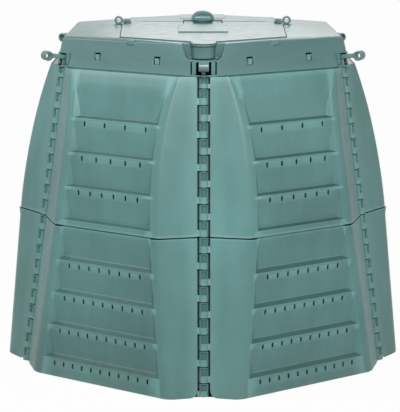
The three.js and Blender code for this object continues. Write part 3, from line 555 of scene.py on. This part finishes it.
def plastic(name, colour, roughness, grain=0.12, clouding=0.14, ledge_shade=0.0, gloss=0.5):
    """Moulded plastic with a fine grain, worn edges, and painted highlights and shade."""
    material, tree, shader = new_material(name)
    looks = wear_and_painted_light(tree, flow_marks(tree, colour, clouding), colour, ledge_shade)
    tree.links.new(looks, shader.inputs["Base Color"])
    spread = [roughness + change for change in GLOSS_SPREAD]
    rough = map_range(tree, noise(tree, GLOSS_SCALE, GLOSS_DETAIL), GLOSS_RANGE, spread)
    tree.links.new(rough, shader.inputs["Roughness"])
    bump = tree.nodes.new("ShaderNodeBump")
    bump.inputs["Strength"].default_value = grain
    bump.inputs["Distance"].default_value = GRAIN_DEPTH
    tree.links.new(noise(tree, GRAIN_SCALE, GRAIN_DETAIL), bump.inputs["Height"])
    tree.links.new(bump.outputs["Normal"], shader.inputs["Normal"])
    shader.inputs["Specular IOR Level"].default_value = gloss
    return material


wall_plastic = plastic("wall_plastic", WALL_COLOUR, roughness=0.34, ledge_shade=0.65, gloss=0.32)
lid_plastic = plastic("lid_plastic", LID_COLOUR, roughness=0.32, grain=0.012, clouding=0.03)
rod_plastic = plastic("rod_plastic", ROD_COLOUR, roughness=0.34, grain=0.06, clouding=0.08)
shaded_plastic = plastic("shaded_plastic", SHADED_COLOUR, roughness=0.7)


# Walls

SIN_HALF = math.sin(SIXTH / 2)
COS_HALF = math.cos(SIXTH / 2)


def seam_radius(z):
    return lerp(BASE_SEAM_RADIUS, RIM_SEAM_RADIUS, z / RIM_HEIGHT)


def ridge(z):
    """The ridge's radius along the seam's plane and its distance from that plane."""
    base = BASE_SEAM_RADIUS + RIDGE_LEAD[0]
    split = seam_radius(SPLIT_HEIGHT) + RIDGE_LEAD[1]
    if z <= SPLIT_HEIGHT:
        rise = z / SPLIT_HEIGHT
        return lerp(base, split, rise), lerp(WING[0], WING[1], rise)
    rise = (z - SPLIT_HEIGHT) / (RIM_HEIGHT - SPLIT_HEIGHT)
    rim = RIM_SEAM_RADIUS + RIDGE_LEAD[2]
    return lerp(split, rim, rise**RIDGE_CURVE_POWER), lerp(WING[1], WING[2], rise**WING_CURVE_POWER)


def beside_seam(radius, offset):
    return Vector((radius * SIN_HALF - offset * COS_HALF, -radius * COS_HALF - offset * SIN_HALF))


def ridge_place(z):
    return beside_seam(*ridge(z))


def face_y(z):
    return ridge_place(z).y


def field_half(z):
    rise = max(0, (z - SPLIT_HEIGHT) / (RIM_HEIGHT - SPLIT_HEIGHT))
    return ridge_place(z).x - lerp(*FIELD_MARGIN, rise)


def flare(z, row):
    """How far the ridge bends away from the seam at the top of the lower walls."""
    rise = 1 - (row["top"] - z) / FLARE_HEIGHT
    return RIDGE_FLARE * rise if row is LOWER and rise > 0 else 0


def wing_gap(z):
    """The seam axis to the wing's edge, drawn in round the wall's foot corner."""
    if z >= FOOT_CORNER_RADIUS:
        return WING_GAP
    drop = FOOT_CORNER_RADIUS - z
    return WING_GAP + FOOT_CORNER_RADIUS - math.sqrt(FOOT_CORNER_RADIUS**2 - drop**2)


def ledges_of(row):
    return [row["first_ledge"] + i * row["pitch"] for i in range(FIELDS)]


def ledge_profile(row):
    """The ledge as pairs of a height above its lip and a share of the depth."""
    return (*LIP_PROFILE, *((rise * row["drop"], share) for rise, share in LEDGE_PROFILE))


def depth_share(z, row):
    """How far the field lies behind the wall's face at a height, as a share of its depth."""
    profile = ledge_profile(row)
    floor_rise = profile[-1][0]
    for ledge in ledges_of(row):
        rise = z - ledge
        if profile[0][0] <= rise < floor_rise:
            return profile_at(profile, rise)
        if floor_rise <= rise < FIELD_HEIGHT:
            share = (rise - floor_rise) / (FIELD_HEIGHT - floor_rise)
            floor = face_y(ledge + floor_rise) + FIELD_DEPTH
            depth = lerp(floor, face_y(ledge + FIELD_HEIGHT), share) - face_y(z)
            return max(0, depth / FIELD_DEPTH)
    return 0


def slot_rises():
    """The heights of a slot's rows, from its middle."""
    full = SLOT_HALF_HEIGHT - SLOT_ROUND
    return (-SLOT_HALF_HEIGHT, -full, full, SLOT_HALF_HEIGHT)


def row_heights(row):
    heights = {row["foot"], row["top"]}
    if row is LOWER:
        heights |= {FOOT_CORNER_RADIUS * share for share in FOOT_CORNER_SHARES}
        heights |= {row["top"] - FLARE_HEIGHT}
    profile = ledge_profile(row)
    for ledge in ledges_of(row):
        heights |= {ledge + rise for rise, _ in profile}
        heights |= {ledge - BACK_LEAD, ledge + FIELD_HEIGHT}
        heights |= {ledge - SLOT_DROP + rise for rise in slot_rises()}
        ends = (ledge + profile[-1][0], ledge + FIELD_HEIGHT)
        heights |= {lerp(*ends, i / CURVE_ROWS) for i in range(1, CURVE_ROWS)}
    top = max(ledges_of(row)) + FIELD_HEIGHT
    heights |= {lerp(top, row["top"], i / TOP_ROWS) for i in range(1, TOP_ROWS)}
    return sorted(z for z in heights if row["foot"] <= z <= row["top"])


def nearest_slots(z, row):
    """The number, middle height and reach of the slots nearest to a height."""
    rows = zip(ledges_of(row), row["slots"], row["spreads"])
    places = [(ledge - SLOT_DROP, count, spread * field_half(ledge)) for ledge, count, spread in rows]
    return min(places, key=lambda place: abs(z - place[0]))


def columns(z, row, end):
    """Places from a wall's middle to its field's end, in pairs at the slots' edges."""
    middle, count, reach = nearest_slots(z, row)
    rounding = max(0, abs(z - middle) - SLOT_HALF_HEIGHT + SLOT_ROUND)
    half = SLOT_HALF_WIDTH - min(rounding, SLOT_ROUND)
    slots = [lerp(-reach, reach, i / (count - 1)) for i in range(count)]
    places = [x + side * half for x in slots for side in (-1, 1) if x + side * half > 0]
    last = places[-1] if places else 0
    spare = max(row["slots"]) - len(places)
    return places + [lerp(last, end, (i + 1) / (spare + 1)) for i in range(spare)]


def ridge_curve(z, row, wing_end):
    """Points round the ridge, and the direction from it along the wing."""
    corner = ridge_place(z)
    along = (wing_end - corner).normalized()
    corner -= along * flare(z, row)
    cut = lerp(*RIDGE_CUT, z / RIM_HEIGHT)
    on_face = corner - Vector((cut, 0))
    on_wing = corner + along * cut
    shares = [i / RIDGE_STEPS for i in range(RIDGE_STEPS + 1)]
    return [on_face.lerp(corner, t).lerp(corner.lerp(on_wing, t), t) for t in shares], along


def outer_half(z, row, share):
    """The outer line from the wall's middle to its right seam, with its louvre at a depth."""
    face = face_y(z)
    end = field_half(z)
    floor_end = end - FIELD_SLANT * share
    line = [Vector((x, face + FIELD_DEPTH * share)) for x in columns(z, row, floor_end)]
    for across, extra, depth in SIDE_PROFILE:
        x = lerp(floor_end, end, across) + extra
        line.append(Vector((x, face + FIELD_DEPTH * share * depth)))
    gap = wing_gap(z) if row is LOWER else WING_GAP
    wing_end = beside_seam(seam_radius(z) + WING_LEAD, gap)
    curve, along = ridge_curve(z, row, wing_end)
    line += curve
    line.append(curve[-1].lerp(wing_end, 0.5))
    line.append(wing_end - along * EDGE_ROUND)
    outwards = Vector((-along.y, along.x)) * math.copysign(1, along.x)
    line.append(wing_end + outwards * EDGE_ROUND)
    return line


def inner_half(z, row, outer, behind):
    """The inner line, with as many points as the outer one."""
    plain = outer_half(z, row, 0)
    line = []
    for i, place in enumerate(plain):
        before = place - plain[max(i - 1, 0)]
        after = plain[min(i + 1, len(plain) - 1)] - place
        along = (before.normalized() + after.normalized()).normalized()
        if i >= len(plain) - 2:
            along = (plain[-2] - plain[-3]).normalized()
        line.append(place + Vector((-along.y, along.x)) * PANEL_THICKNESS)
    line[-1] = line[-2].lerp(plain[-1], WING_TIP_SHARE)
    across = max(row["slots"])
    back = face_y(z) + PANEL_THICKNESS
    for i in range(across):
        line[i] = Vector((outer[i].x, back + FIELD_DEPTH * behind))
    for i, (_, _, depth) in enumerate(SIDE_PROFILE, across):
        line[i] = Vector((outer[i].x + PANEL_THICKNESS, back + FIELD_DEPTH * behind * depth))
    return line


def wall_ring(z, row):
    """A wall's outline at a height: its outer line from left to right, then its inner one back."""
    share = depth_share(z, row)
    behind = max(share, depth_share(min(z + BACK_LEAD, row["top"]), row))
    outer = outer_half(z, row, share)
    inner = inner_half(z, row, outer, behind)

    def both(half):
        return [Vector((-p.x, p.y)) for p in half[::-1]] + half

    return [(p.x, p.y, z) for p in both(outer) + both(inner)[::-1]]


def open_quads(low, high, row, middle):
    """The places in the outer line, between two heights, where slots are open."""
    height, count, _ = nearest_slots((low + high) / 2, row)
    if count == 0 or abs((low + high) / 2 - height) > SLOT_HALF_HEIGHT:
        return set()
    first = count % 2
    quads = {middle - 1} if first else set()
    for i in range(first, count, 2):
        quads |= {middle + i, middle - 2 - i}
    return quads


def wall_shell(row):
    """A wall's panel, open at its slots."""
    bm = bmesh.new()
    heights = row_heights(row)
    rings = [[bm.verts.new(place) for place in wall_ring(z, row)] for z in heights]
    count = len(rings[0])
    before = set()
    for k, (lower, upper) in enumerate(zip(rings, rings[1:])):
        slots = open_quads(heights[k], heights[k + 1], row, count // 4)
        for i in set(range(count)) - slots - {count - 2 - i for i in slots}:
            j = (i + 1) % count
            bm.faces.new((lower[i], lower[j], upper[j], upper[i]))
        for i in slots:
            for side in (i, i + 1):
                back = count - 1 - side
                bm.faces.new((lower[side], upper[side], upper[back], lower[back]))
        for i in slots ^ before:
            bm.faces.new((lower[i], lower[i + 1], lower[count - 2 - i], lower[count - 1 - i]))
        before = slots
    for ring in (rings[0], rings[-1]):
        for i in range(count // 2 - 1):
            bm.faces.new((ring[i], ring[i + 1], ring[count - 2 - i], ring[count - 1 - i]))
    return bm


def seam_frame(z):
    """The left-hand seam's frame, with X into the wing, -Y outwards and Z up the seam, and its rise."""

    def on_seam(height):
        place = beside_seam(seam_radius(height), 0)
        return Vector((-place.x, place.y, height))

    up = (on_seam(RIM_HEIGHT) - on_seam(0)).normalized()
    across = Vector((COS_HALF, -SIN_HALF, 0))
    inwards = up.cross(across)
    turn = Matrix((across, inwards, up)).transposed().to_4x4()
    return Matrix.Translation(on_seam(z)) @ turn, up.z


def knuckle_columns():
    """The angles of a knuckle's columns, with a pair at each pocket and rib wall."""
    columns = set(range(-180, 180, KNUCKLE_STEP))
    for start, end in (POCKET_ARC, *POCKET_RIBS):
        columns |= {start, start + POCKET_WALL_ARC, end - POCKET_WALL_ARC, end}
    return sorted(columns)


def knuckle_depth(angle):
    """How deep the pocket is at an angle."""
    if not POCKET_ARC[0] < angle < POCKET_ARC[1]:
        return 0
    on_rib = any(start < angle < end for start, end in POCKET_RIBS)
    return RIB_DEPTH if on_rib else POCKET_DEPTH


def knuckle_levels(length):
    """A knuckle's rows from its foot to its top: height, inset and share of the pocket's depth."""
    low, high = (share * length for share in POCKET_RISE)
    return [
        (0, KNUCKLE_EDGE, 0),
        (KNUCKLE_EDGE, 0, 0),
        (low, 0, 0),
        (low + KNUCKLE_EDGE, 0, 1),
        (high - KNUCKLE_EDGE, 0, 1),
        (high, 0, 0),
        (length - KNUCKLE_EDGE, 0, 0),
        (length, KNUCKLE_EDGE, 0),
    ]


def knuckle_web(bm, matrix, length):
    """The web that joins a knuckle's lower part to its wing."""
    web = [(KNUCKLE_RADIUS / 2, -WING_LEAD), (WING_GAP + EDGE_ROUND, -WING_LEAD)]
    web += [(x, -WING_LEAD + PANEL_THICKNESS) for x, _ in web[::-1]]
    heights = (KNUCKLE_EDGE, WEB_SHARE * length)
    loft(bm, [[matrix @ Vector((x, y, height)) for x, y in web] for height in heights])


def knuckle(bm, foot, top, side):
    """One knuckle with its web: side -1 on the wall's left seam and 1 on its right seam."""
    matrix, steepness = seam_frame(foot)
    matrix = Matrix.Diagonal((-side, 1, 1, 1)) @ matrix
    length = (top - foot) / steepness
    rings = []
    for height, inset, pocketed in knuckle_levels(length):
        ring = []
        for angle in knuckle_columns():
            radius = KNUCKLE_RADIUS - inset - pocketed * knuckle_depth(angle)
            turn = math.radians(angle)
            place = Vector((radius * math.sin(turn), -radius * math.cos(turn), height))
            ring.append(matrix @ place)
        rings.append(ring)
    loft(bm, rings)
    knuckle_web(bm, matrix, length)


def knuckle_row(bm, end):
    """A wall's knuckles from the split to the row's end, on its two seams in turn."""
    run = end - SPLIT_HEIGHT
    count = round(abs(run) / KNUCKLE_PITCH)
    step = math.copysign(KNUCKLE_PITCH, run)
    edges = [SPLIT_HEIGHT + i * step for i in range(count)] + [end]
    for i, pair in enumerate(zip(edges, edges[1:])):
        on_left = (i % 2 == 1) == (run > 0)
        foot, top = sorted(pair)
        knuckle(bm, foot + KNUCKLE_GAP / 2, top - KNUCKLE_GAP / 2, -1 if on_left else 1)


def lap_strip(bm):
    """The strip of the lower wall that stands behind the split."""
    half = field_half(SPLIT_HEIGHT)
    rings = []
    for z in (SPLIT_HEIGHT - LAP_ROOT, SPLIT_HEIGHT + LAP_HEIGHT):
        front = face_y(z) + PANEL_THICKNESS + LAP_CLEARANCE
        back = front + LAP_THICKNESS
        rings.append([(-half, front, z), (half, front, z), (half, back, z), (-half, back, z)])
    loft(bm, rings)


def skirt_face(z):
    share = (z - RIM_HEIGHT) / (EAVE_HEIGHT - RIM_HEIGHT)
    return -lerp(SKIRT_FOOT_RADIUS, EAVE_RADIUS, share) * COS_HALF


def shoulder(bm):
    """The flange from the wall's rim in to the upstand."""
    flat = max(UPPER["slots"]) + len(SIDE_PROFILE)
    back = skirt_face(RIM_HEIGHT) + ROOF_THICKNESS + UPSTAND_CLEARANCE + UPSTAND_THICKNESS
    rings = []
    for z in (RIM_HEIGHT - SHOULDER_THICKNESS, RIM_HEIGHT):
        half = [p + Vector((0, SHOULDER_SETBACK)) for p in outer_half(z, UPPER, 0)]
        line = half[flat:] + [Vector((UPSTAND_HALF_WIDTH, back))]
        right = [(p.x, p.y, z) for p in line]
        rings.append(right + [(-x, y, z) for x, y, z in reversed(right)])
    loft(bm, rings)


def upstand_band(bm, x0, x1, z0, z1):
    """A rectangle of the upstand's sheet."""
    rings = []
    for z in (z0, z1):
        front = skirt_face(z) + ROOF_THICKNESS + UPSTAND_CLEARANCE
        back = front + UPSTAND_THICKNESS
        rings.append([(x0, front, z), (x1, front, z), (x1, back, z), (x0, back, z)])
    loft(bm, rings)


def upstand(bm, shift):
    """The tongue inside the skirt, open round two snap tabs."""
    half = WINDOW_SIZE / 2
    low, high = WINDOW_HEIGHT - half, WINDOW_HEIGHT + half
    holes = [shift + side * WINDOW_OFFSET for side in (-1, 1)]
    upstand_band(bm, -UPSTAND_HALF_WIDTH, UPSTAND_HALF_WIDTH, RIM_HEIGHT - SHOULDER_THICKNESS, low)
    upstand_band(bm, -UPSTAND_HALF_WIDTH, UPSTAND_HALF_WIDTH, high, RIM_HEIGHT + UPSTAND_RISE)
    hole_edges = [x + side * half for x in holes for side in (-1, 1)]
    edges = [-UPSTAND_HALF_WIDTH, *hole_edges, UPSTAND_HALF_WIDTH]
    for x0, x1 in zip(edges[::2], edges[1::2]):
        upstand_band(bm, x0, x1, low, high)
    tab_half = half - TAB_CLEARANCE
    front = skirt_face(WINDOW_HEIGHT) + ROOF_THICKNESS + UPSTAND_CLEARANCE
    for x in holes:
        corner = (x - tab_half, front - TAB_REACH, low + UPSTAND_CLEARANCE)
        far_corner = (x + tab_half, front + UPSTAND_THICKNESS, WINDOW_HEIGHT + tab_half)
        block(bm, corner, far_corner, EDGE_ROUND)


def wall_mesh(row, extras):
    """A wall row's panel, its knuckles and the extras given."""
    bm = wall_shell(row)
    knuckle_row(bm, row["seam_end"])
    for extra in extras:
        extra(bm)
    return mesh_from(bm, "wall")


def round_the_bin(prefix, meshes, first_turn, material, node):
    """Six pieces round the bin that replace CAD nodes. The first turn counts sixths."""
    for i, mesh in enumerate(meshes):
        copy = mesh.copy()
        copy.transform(Matrix.Rotation((first_turn + i) * SIXTH, 4, "Z"))
        piece(f"{prefix}_{i + 1}", copy, "bin", material, [f"{node}_{i + 1}"])


def upper_mesh(shift):
    return wall_mesh(UPPER, [shoulder, lambda bm: upstand(bm, shift)])


lower_meshes = [wall_mesh(LOWER, [lap_strip])] * SIDES
round_the_bin("lower_panel", lower_meshes, FACE_TURN, wall_plastic, "lower_wall")
upper_meshes = {shift: upper_mesh(shift) for shift in set(WINDOW_SHIFTS)}
shifted_meshes = [upper_meshes[shift] for shift in WINDOW_SHIFTS]
round_the_bin("upper_panel", shifted_meshes, FACE_TURN, wall_plastic, "upper_wall")


# Near-black sheets of painted shade behind the seams and the slots


def seam_return(bm, row, side):
    """The sheet behind a seam's knuckles on one wall, which keeps daylight out; its near-black colour
    is painted shade.
    """
    near = WING_GAP - EDGE_ROUND
    far = near + RETURN_THICKNESS
    front = -WING_LEAD + PANEL_THICKNESS + EDGE_ROUND
    back = KNUCKLE_RADIUS + RETURN_GAP
    behind = back + RETURN_THICKNESS
    plan = [(near, front), (far, front), (far, behind)]
    plan += [(RETURN_GAP, behind), (RETURN_GAP, back), (near, back)]
    rings = []
    for z in (max(row["foot"], FOOT_CORNER_RADIUS), row["top"] - SHOULDER_THICKNESS):
        matrix, _ = seam_frame(z)
        matrix = Matrix.Diagonal((-side, 1, 1, 1)) @ matrix
        ring = [matrix @ Vector((x, y, 0)) for x, y in plan]
        rings.append([(place.x, place.y, z) for place in ring])
    loft(bm, rings)


def slot_baffles(bm, row):
    """A near-black sheet of painted shade behind each row of slots."""
    for ledge, count, spread in zip(ledges_of(row), row["slots"], row["spreads"]):
        if count:
            z = ledge - SLOT_DROP
            x = spread * field_half(ledge) + BAFFLE_END
            y = face_y(z) + FIELD_DEPTH + BAFFLE_DEPTH
            foot, top = z - BAFFLE_REACH, z + BAFFLE_REACH
            block(bm, (-x, y, foot), (x, y + RETURN_THICKNESS, top))


def dark_backs():
    """All the near-black sheets of painted shade behind the seams and the slots, as one mesh."""
    sheets = []
    for i in range(SIDES):
        for row in (LOWER, UPPER):
            bm = bmesh.new()
            seam_return(bm, row, -1)
            seam_return(bm, row, 1)
            slot_baffles(bm, row)
            sheets.append(mesh_from(bm, "backs", (i + FACE_TURN) * SIXTH))
    return joined("dark_backs", sheets)


# Near-black sheets that paint the shade inside the seams and behind the slots
piece("dark_backs", dark_backs(), "bin", shaded_plastic)


# Seam rods


def chamfered(half_width, half_depth, corner):
    """A rectangular section with its corners cut off."""
    line = [
        (-half_width, corner - half_depth),
        (corner - half_width, -half_depth),
        (half_width - corner, -half_depth),
        (half_width, corner - half_depth),
    ]
    return line + [(-x, -y) for x, y in line]


def rod_mesh():
    """The front seam's rod, with its arm and its finger eye."""
    bm = bmesh.new()
    arm_height = EYE_HEIGHT - ARM_DROP
    half = ROD_WIDTH / 2
    plan = chamfered(half, half, EDGE_ROUND)
    heights = (ROD_FOOT, arm_height + ARM_THICKNESS / 2)
    loft(bm, [[(x, y - seam_radius(z), z) for x, y in plan] for z in heights])
    eye = (0, -EYE_REACH, EYE_HEIGHT)
    ring_about(bm, "x", eye, EYE_RADIUS, EYE_BORE_RADIUS, EYE_LENGTH, EYE_ROUND)
    section = chamfered(ARM_WIDTH / 2, ARM_THICKNESS / 2, 2 * EDGE_ROUND)
    root = (half - seam_radius(arm_height), arm_height)
    tip = ((EYE_BORE_RADIUS + EYE_RADIUS) / 2 - EYE_REACH, EYE_HEIGHT)
    loft(bm, [[(x, y, z + rise) for x, rise in section] for y, z in (root, tip)])
    return mesh_from(bm, "rod")


round_the_bin("rod", [rod_mesh()] * SIDES, 0, rod_plastic, "seam_rod")


# Roof and flaps, softened from their CAD solids


def softened(node, radius):
    """A copy of a CAD node's mesh with its sharp edges rounded off."""
    bm = bmesh.new()
    bm.from_mesh(frame["nodes"][node].data)
    bmesh.ops.remove_doubles(bm, verts=bm.verts, dist=WELD_DISTANCE)
    flat = math.radians(FLAT_ANGLE)
    bmesh.ops.dissolve_limit(bm, angle_limit=flat, verts=bm.verts, edges=bm.edges)
    sharp = math.radians(SOFTENED_ANGLE)
    inner = [edge for edge in bm.edges if len(edge.link_faces) == 2]
    round_edges(bm, [edge for edge in inner if edge.calc_face_angle(0) > sharp], radius * MM)
    mesh = bpy.data.meshes.new(node)
    bm.to_mesh(mesh)
    bm.free()
    return mesh


piece("roof_cover", softened("roof", ROOF_ROUND), "bin", lid_plastic, ["roof"])
for end in ("front", "rear"):
    node = f"{end}_flap"
    mesh = softened(node, FLAP_ROUND)
    piece(f"{end}_flap_cover", mesh, f"{node}_body", lid_plastic, [node])


def notch_mesh():
    """The cheeks and the foot bar of the roof's corner notch."""
    bm = bmesh.new()
    for side in (-1, 1):
        near, far = sorted((side * CHEEK_INNER, side * CHEEK_OUTER))
        corner = (near, CHEEK_FRONT - SKIRT_FOOT_RADIUS, NOTCH_BAR_TOP)
        far_corner = (far, CHEEK_BACK - SKIRT_FOOT_RADIUS, CORNER_NOTCH_TOP)
        block(bm, corner, far_corner, EDGE_ROUND)
    rings = []
    for z, inset in ((RIM_HEIGHT + EDGE_ROUND, 0), (NOTCH_BAR_TOP, EDGE_ROUND / 2)):
        front = SKIRT_FOOT_RADIUS - EDGE_ROUND - inset
        half = CORNER_NOTCH_HALF_WIDTH
        setback = half * SIN_HALF / COS_HALF
        line = [(-half, setback - front), (0, -front), (half, setback - front)]
        ring = line + [(x, y + ROOF_THICKNESS - inset) for x, y in line[::-1]]
        rings.append([(x, y, z) for x, y in ring])
    loft(bm, rings)
    return mesh_from(bm, "notch")


def grip_band(height, thickness, radius):
    """A band round the front of a flap's grip, which in near-black paints the shade of its groove."""
    turns = [lerp(-GRIP_ARC, GRIP_ARC, i / ROUND_STEPS) for i in range(ROUND_STEPS + 1)]
    places = ((0, BAND_EDGE), (BAND_EDGE, 0), (thickness - BAND_EDGE, 0), (thickness, BAND_EDGE))
    rings = []
    for z, inset in places:
        reach = radius - inset
        ring = []
        for angle in map(math.radians, turns):
            ring.append((reach * math.sin(angle), -GRIP_MIDDLE - reach * math.cos(angle), height + z))
        rings.append(ring)
    bm = bmesh.new()
    loft(bm, rings)
    return bm


for i in range(SIDES):
    mesh = notch_mesh()
    mesh.transform(Matrix.Rotation(i * SIXTH, 4, "Z"))
    piece(f"corner_notch_{i + 1}", mesh, "bin", lid_plastic)
# Near-black bands that paint the shade in the grooves round the flaps' grips
for end, turn in (("front", 0), ("rear", math.pi)):
    for name, height, thickness, radius in GRIP_GROOVE_SHADES:
        mesh = mesh_from(grip_band(height, thickness, radius), "grip", turn)
        piece(f"{end}_{name}", mesh, f"{end}_flap_body", shaded_plastic)


# Hinge pins and knob


def pin_mesh():
    """The right-hand hinge pin with its finger eye."""
    bm = bmesh.new()
    steps = ROUND_STEPS // 2
    tip = PIN_INNER + EDGE_ROUND
    ends = ((PIN_INNER, PIN_RADIUS - EDGE_ROUND), (tip, PIN_RADIUS), (PIN_OUTER, PIN_RADIUS))
    loft(bm, [circle(r, steps, lambda a, b, x=x: (x, a, HINGE_HEIGHT + b)) for x, r in ends])
    eye = (PIN_EYE_X, 0, PIN_EYE_HEIGHT)
    ring_about(bm, "y", eye, PIN_EYE_RADIUS, PIN_EYE_BORE_RADIUS, PIN_EYE_THICKNESS, EYE_ROUND)
    return bm


for side, turn in (("right", 0), ("left", math.pi)):
    mesh = mesh_from(pin_mesh(), "pin", turn)
    piece(f"{side}_pin", mesh, "bin", rod_plastic, [f"{side}_hinge_pin"])


def lathe(bm, profile, steps):
    """A closed body round the Z axis, from (radius, height) pairs."""
    loft(bm, [circle(r, steps, lambda a, b, z=z: (a, b, z)) for r, z in profile])


def knob_dome():
    """The knob before its scoops are cut."""
    crown = KNOB_HEIGHT - KNOB_RIM_RISE
    profile = [(KNOB_FOOT_RADIUS, 0), (KNOB_RADIUS - EDGE_ROUND / 2, KNOB_RIM_RISE - EDGE_ROUND)]
    for i in range(DOME_STEPS):
        angle = math.pi / 2 * i / DOME_STEPS
        profile.append((KNOB_RADIUS * math.cos(angle), KNOB_RIM_RISE + crown * math.sin(angle)))
    profile.append((EDGE_ROUND, KNOB_HEIGHT))
    bm = bmesh.new()
    lathe(bm, [(r, KNOB_FOOT + z) for r, z in profile], 2 * ROUND_STEPS)
    return mesh_from(bm, "dome")


def scoop_cutter():
    """Two cylinders along X that leave the knob's finger scoops."""
    bm = bmesh.new()
    height = KNOB_FOOT + SCOOP_RISE
    for y in (-SCOOP_REACH, SCOOP_REACH):
        rings = []
        for x in (-2 * KNOB_RADIUS, 2 * KNOB_RADIUS):
            ring = circle(SCOOP_RADIUS, ROUND_STEPS, lambda a, b, x=x, y=y: (x, y + a, height + b))
            rings.append(ring)
        loft(bm, rings)
    return mesh_from(bm, "scoops")


def knob_mesh():
    bm = bmesh.new()
    spindle_top = KNOB_FOOT + KNOB_RIM_RISE / 2
    lathe(bm, [(SPINDLE_RADIUS, SPINDLE_FOOT), (SPINDLE_RADIUS, spindle_top)], ROUND_STEPS)
    spindle = mesh_from(bm, "spindle")
    return joined("knob", [carved(knob_dome(), scoop_cutter()), spindle])


piece("turn_knob", knob_mesh(), "vent", lid_plastic, ["vent_knob"])

for name in ("vent_disc", "spindle_clip"):  # they keep their CAD meshes
    mesh = frame["nodes"][name].data
    mesh.materials.clear()
    mesh.materials.append(rod_plastic)


# Stage, lights and camera

WHITE = (1, 1, 1)
BACKGROUND = 1.0
WORLD_LIGHT = 0.24
FLOOR_HALF = 30  # metres
FLOOR_COLOUR = (0.4, 0.4, 0.4)
FLOOR_ROUGHNESS = 0.9
FLOOR_GLOW = 0.975  # share of the floor's look that is the background's white
# Soil under the bin, near-black so that it also paints the shade inside the bin
SOIL_AND_SHADE_COLOUR = (0.03, 0.024, 0.018)
SOIL_ROUGHNESS = 0.95
SOIL_SHARE = 0.965  # of the bin's plan that the soil under it fills
SOIL_HEIGHT = 0.5
CRUMB_SCALE = 60
CRUMB_DETAIL = 5
CRUMB_RANGE = (0.3, 0.7)
CRUMB_GAIN = 0.5
LIGHTS = (  # name, place, target, size in metres, watts
    ("key", (0.15, -2.7, 2.1), (0, 0, 0.9), 0.75, 61),
    ("left", (-2.0, -0.8, 2.4), (-0.4, 0, 0.9), 0.9, 26),
    ("right", (2.4, -2.8, 1.5), (0.3, 0, 0.6), 1.6, 16),
    ("back", (0.3, 3.6, 2.9), (0, 0, 0.8), 2.0, 27),
)
CAMERA_LENS = 116.08
CAMERA_SENSOR = 36
CAMERA_PLACE = (-0.0252, -4.3423, 1.4408)
CAMERA_TURN = (math.radians(76.908), 0, -0.0038)


def background_rays(tree):
    """1 for rays that show the background: from the camera, or by reflection or transmission."""
    path = tree.nodes.new("ShaderNodeLightPath")
    seen = maths(tree, "MAXIMUM", path.outputs["Is Camera Ray"], path.outputs["Is Glossy Ray"])
    return maths(tree, "MAXIMUM", seen, path.outputs["Is Transmission Ray"])


def white(shader, strength):
    """Sets a glow or a background to white and returns it."""
    shader.inputs["Color"].default_value = (*WHITE, 1)
    shader.inputs["Strength"].default_value = strength
    return shader


def mix_shaders(tree, share, first, second, output):
    """Gives an output node the first shader, with a share of the second."""
    mix = tree.nodes.new("ShaderNodeMixShader")
    tree.links.new(share, mix.inputs[0])
    tree.links.new(first.outputs[0], mix.inputs[1])
    tree.links.new(second.outputs[0], mix.inputs[2])
    tree.links.new(mix.outputs[0], tree.nodes[output].inputs["Surface"])


def floor_material():
    """A floor that looks like the background and still takes shadows."""
    material, tree, shader = new_material("floor")
    feed(tree, FLOOR_COLOUR, shader.inputs["Base Color"])
    shader.inputs["Roughness"].default_value = FLOOR_ROUGHNESS
    glow = white(tree.nodes.new("ShaderNodeEmission"), BACKGROUND)
    share = maths(tree, "MULTIPLY", background_rays(tree), FLOOR_GLOW)
    mix_shaders(tree, share, shader, glow, "Material Output")
    return material


def soil_and_shade_material():
    material, tree, shader = new_material("soil_and_shade")
    pattern = noise(tree, CRUMB_SCALE, CRUMB_DETAIL)
    crumbs = ramp(tree, pattern, CRUMB_RANGE, (shade(SOIL_AND_SHADE_COLOUR, CRUMB_GAIN), SOIL_AND_SHADE_COLOUR))
    tree.links.new(crumbs, shader.inputs["Base Color"])
    shader.inputs["Roughness"].default_value = SOIL_ROUGHNESS
    return material


def soil_outline():
    """The bin's twelve-sided plan at its foot, drawn in a little."""
    corner = ridge_place(0) * SOIL_SHARE
    outline = []
    for i in range(SIDES):
        turn = Matrix.Rotation((i + FACE_TURN) * SIXTH, 4, "Z")
        for side in (-1, 1):
            outline.append(turn @ Vector((side * corner.x, corner.y, SOIL_HEIGHT)) * MM)
    return outline


def ground(name, corners, material):
    """A flat polygon of the stage."""
    mesh = bpy.data.meshes.new(name)
    mesh.from_pydata(corners, [], [range(len(corners))])
    mesh.materials.append(material)
    obj = bpy.data.objects.new(name, mesh)
    bpy.context.collection.objects.link(obj)


def world():
    """Even light from all sides, in front of a white background."""
    scene_world = bpy.data.worlds.new("studio")
    bpy.context.scene.world = scene_world
    scene_world.use_nodes = True
    tree = scene_world.node_tree
    lit = white(tree.nodes["Background"], WORLD_LIGHT)
    shown = white(tree.nodes.new("ShaderNodeBackground"), BACKGROUND)
    mix_shaders(tree, background_rays(tree), lit, shown, "World Output")


def area_light(name, place, target, size, power):
    data = bpy.data.lights.new(name, "AREA")
    data.size = size
    data.energy = power
    light = bpy.data.objects.new(name, data)
    bpy.context.collection.objects.link(light)
    light.location = place
    light.rotation_euler = (Vector(target) - Vector(place)).to_track_quat("-Z", "Y").to_euler()


def camera():
    data = bpy.data.cameras.new("camera")
    data.lens = CAMERA_LENS
    data.sensor_width = CAMERA_SENSOR
    obj = bpy.data.objects.new("camera", data)
    bpy.context.collection.objects.link(obj)
    obj.location = CAMERA_PLACE
    obj.rotation_euler = CAMERA_TURN
    bpy.context.scene.camera = obj


square = [(-1, -1), (1, -1), (1, 1), (-1, 1)]
ground("floor", [(x * FLOOR_HALF, y * FLOOR_HALF, 0) for x, y in square], floor_material())
# Soil under the bin; its near-black colour also paints the shade inside the bin
ground("soil_and_shade", soil_outline(), soil_and_shade_material())
world()
for light in LIGHTS:
    area_light(*light)
camera()
bpy.context.scene.view_settings.view_transform = "Standard"
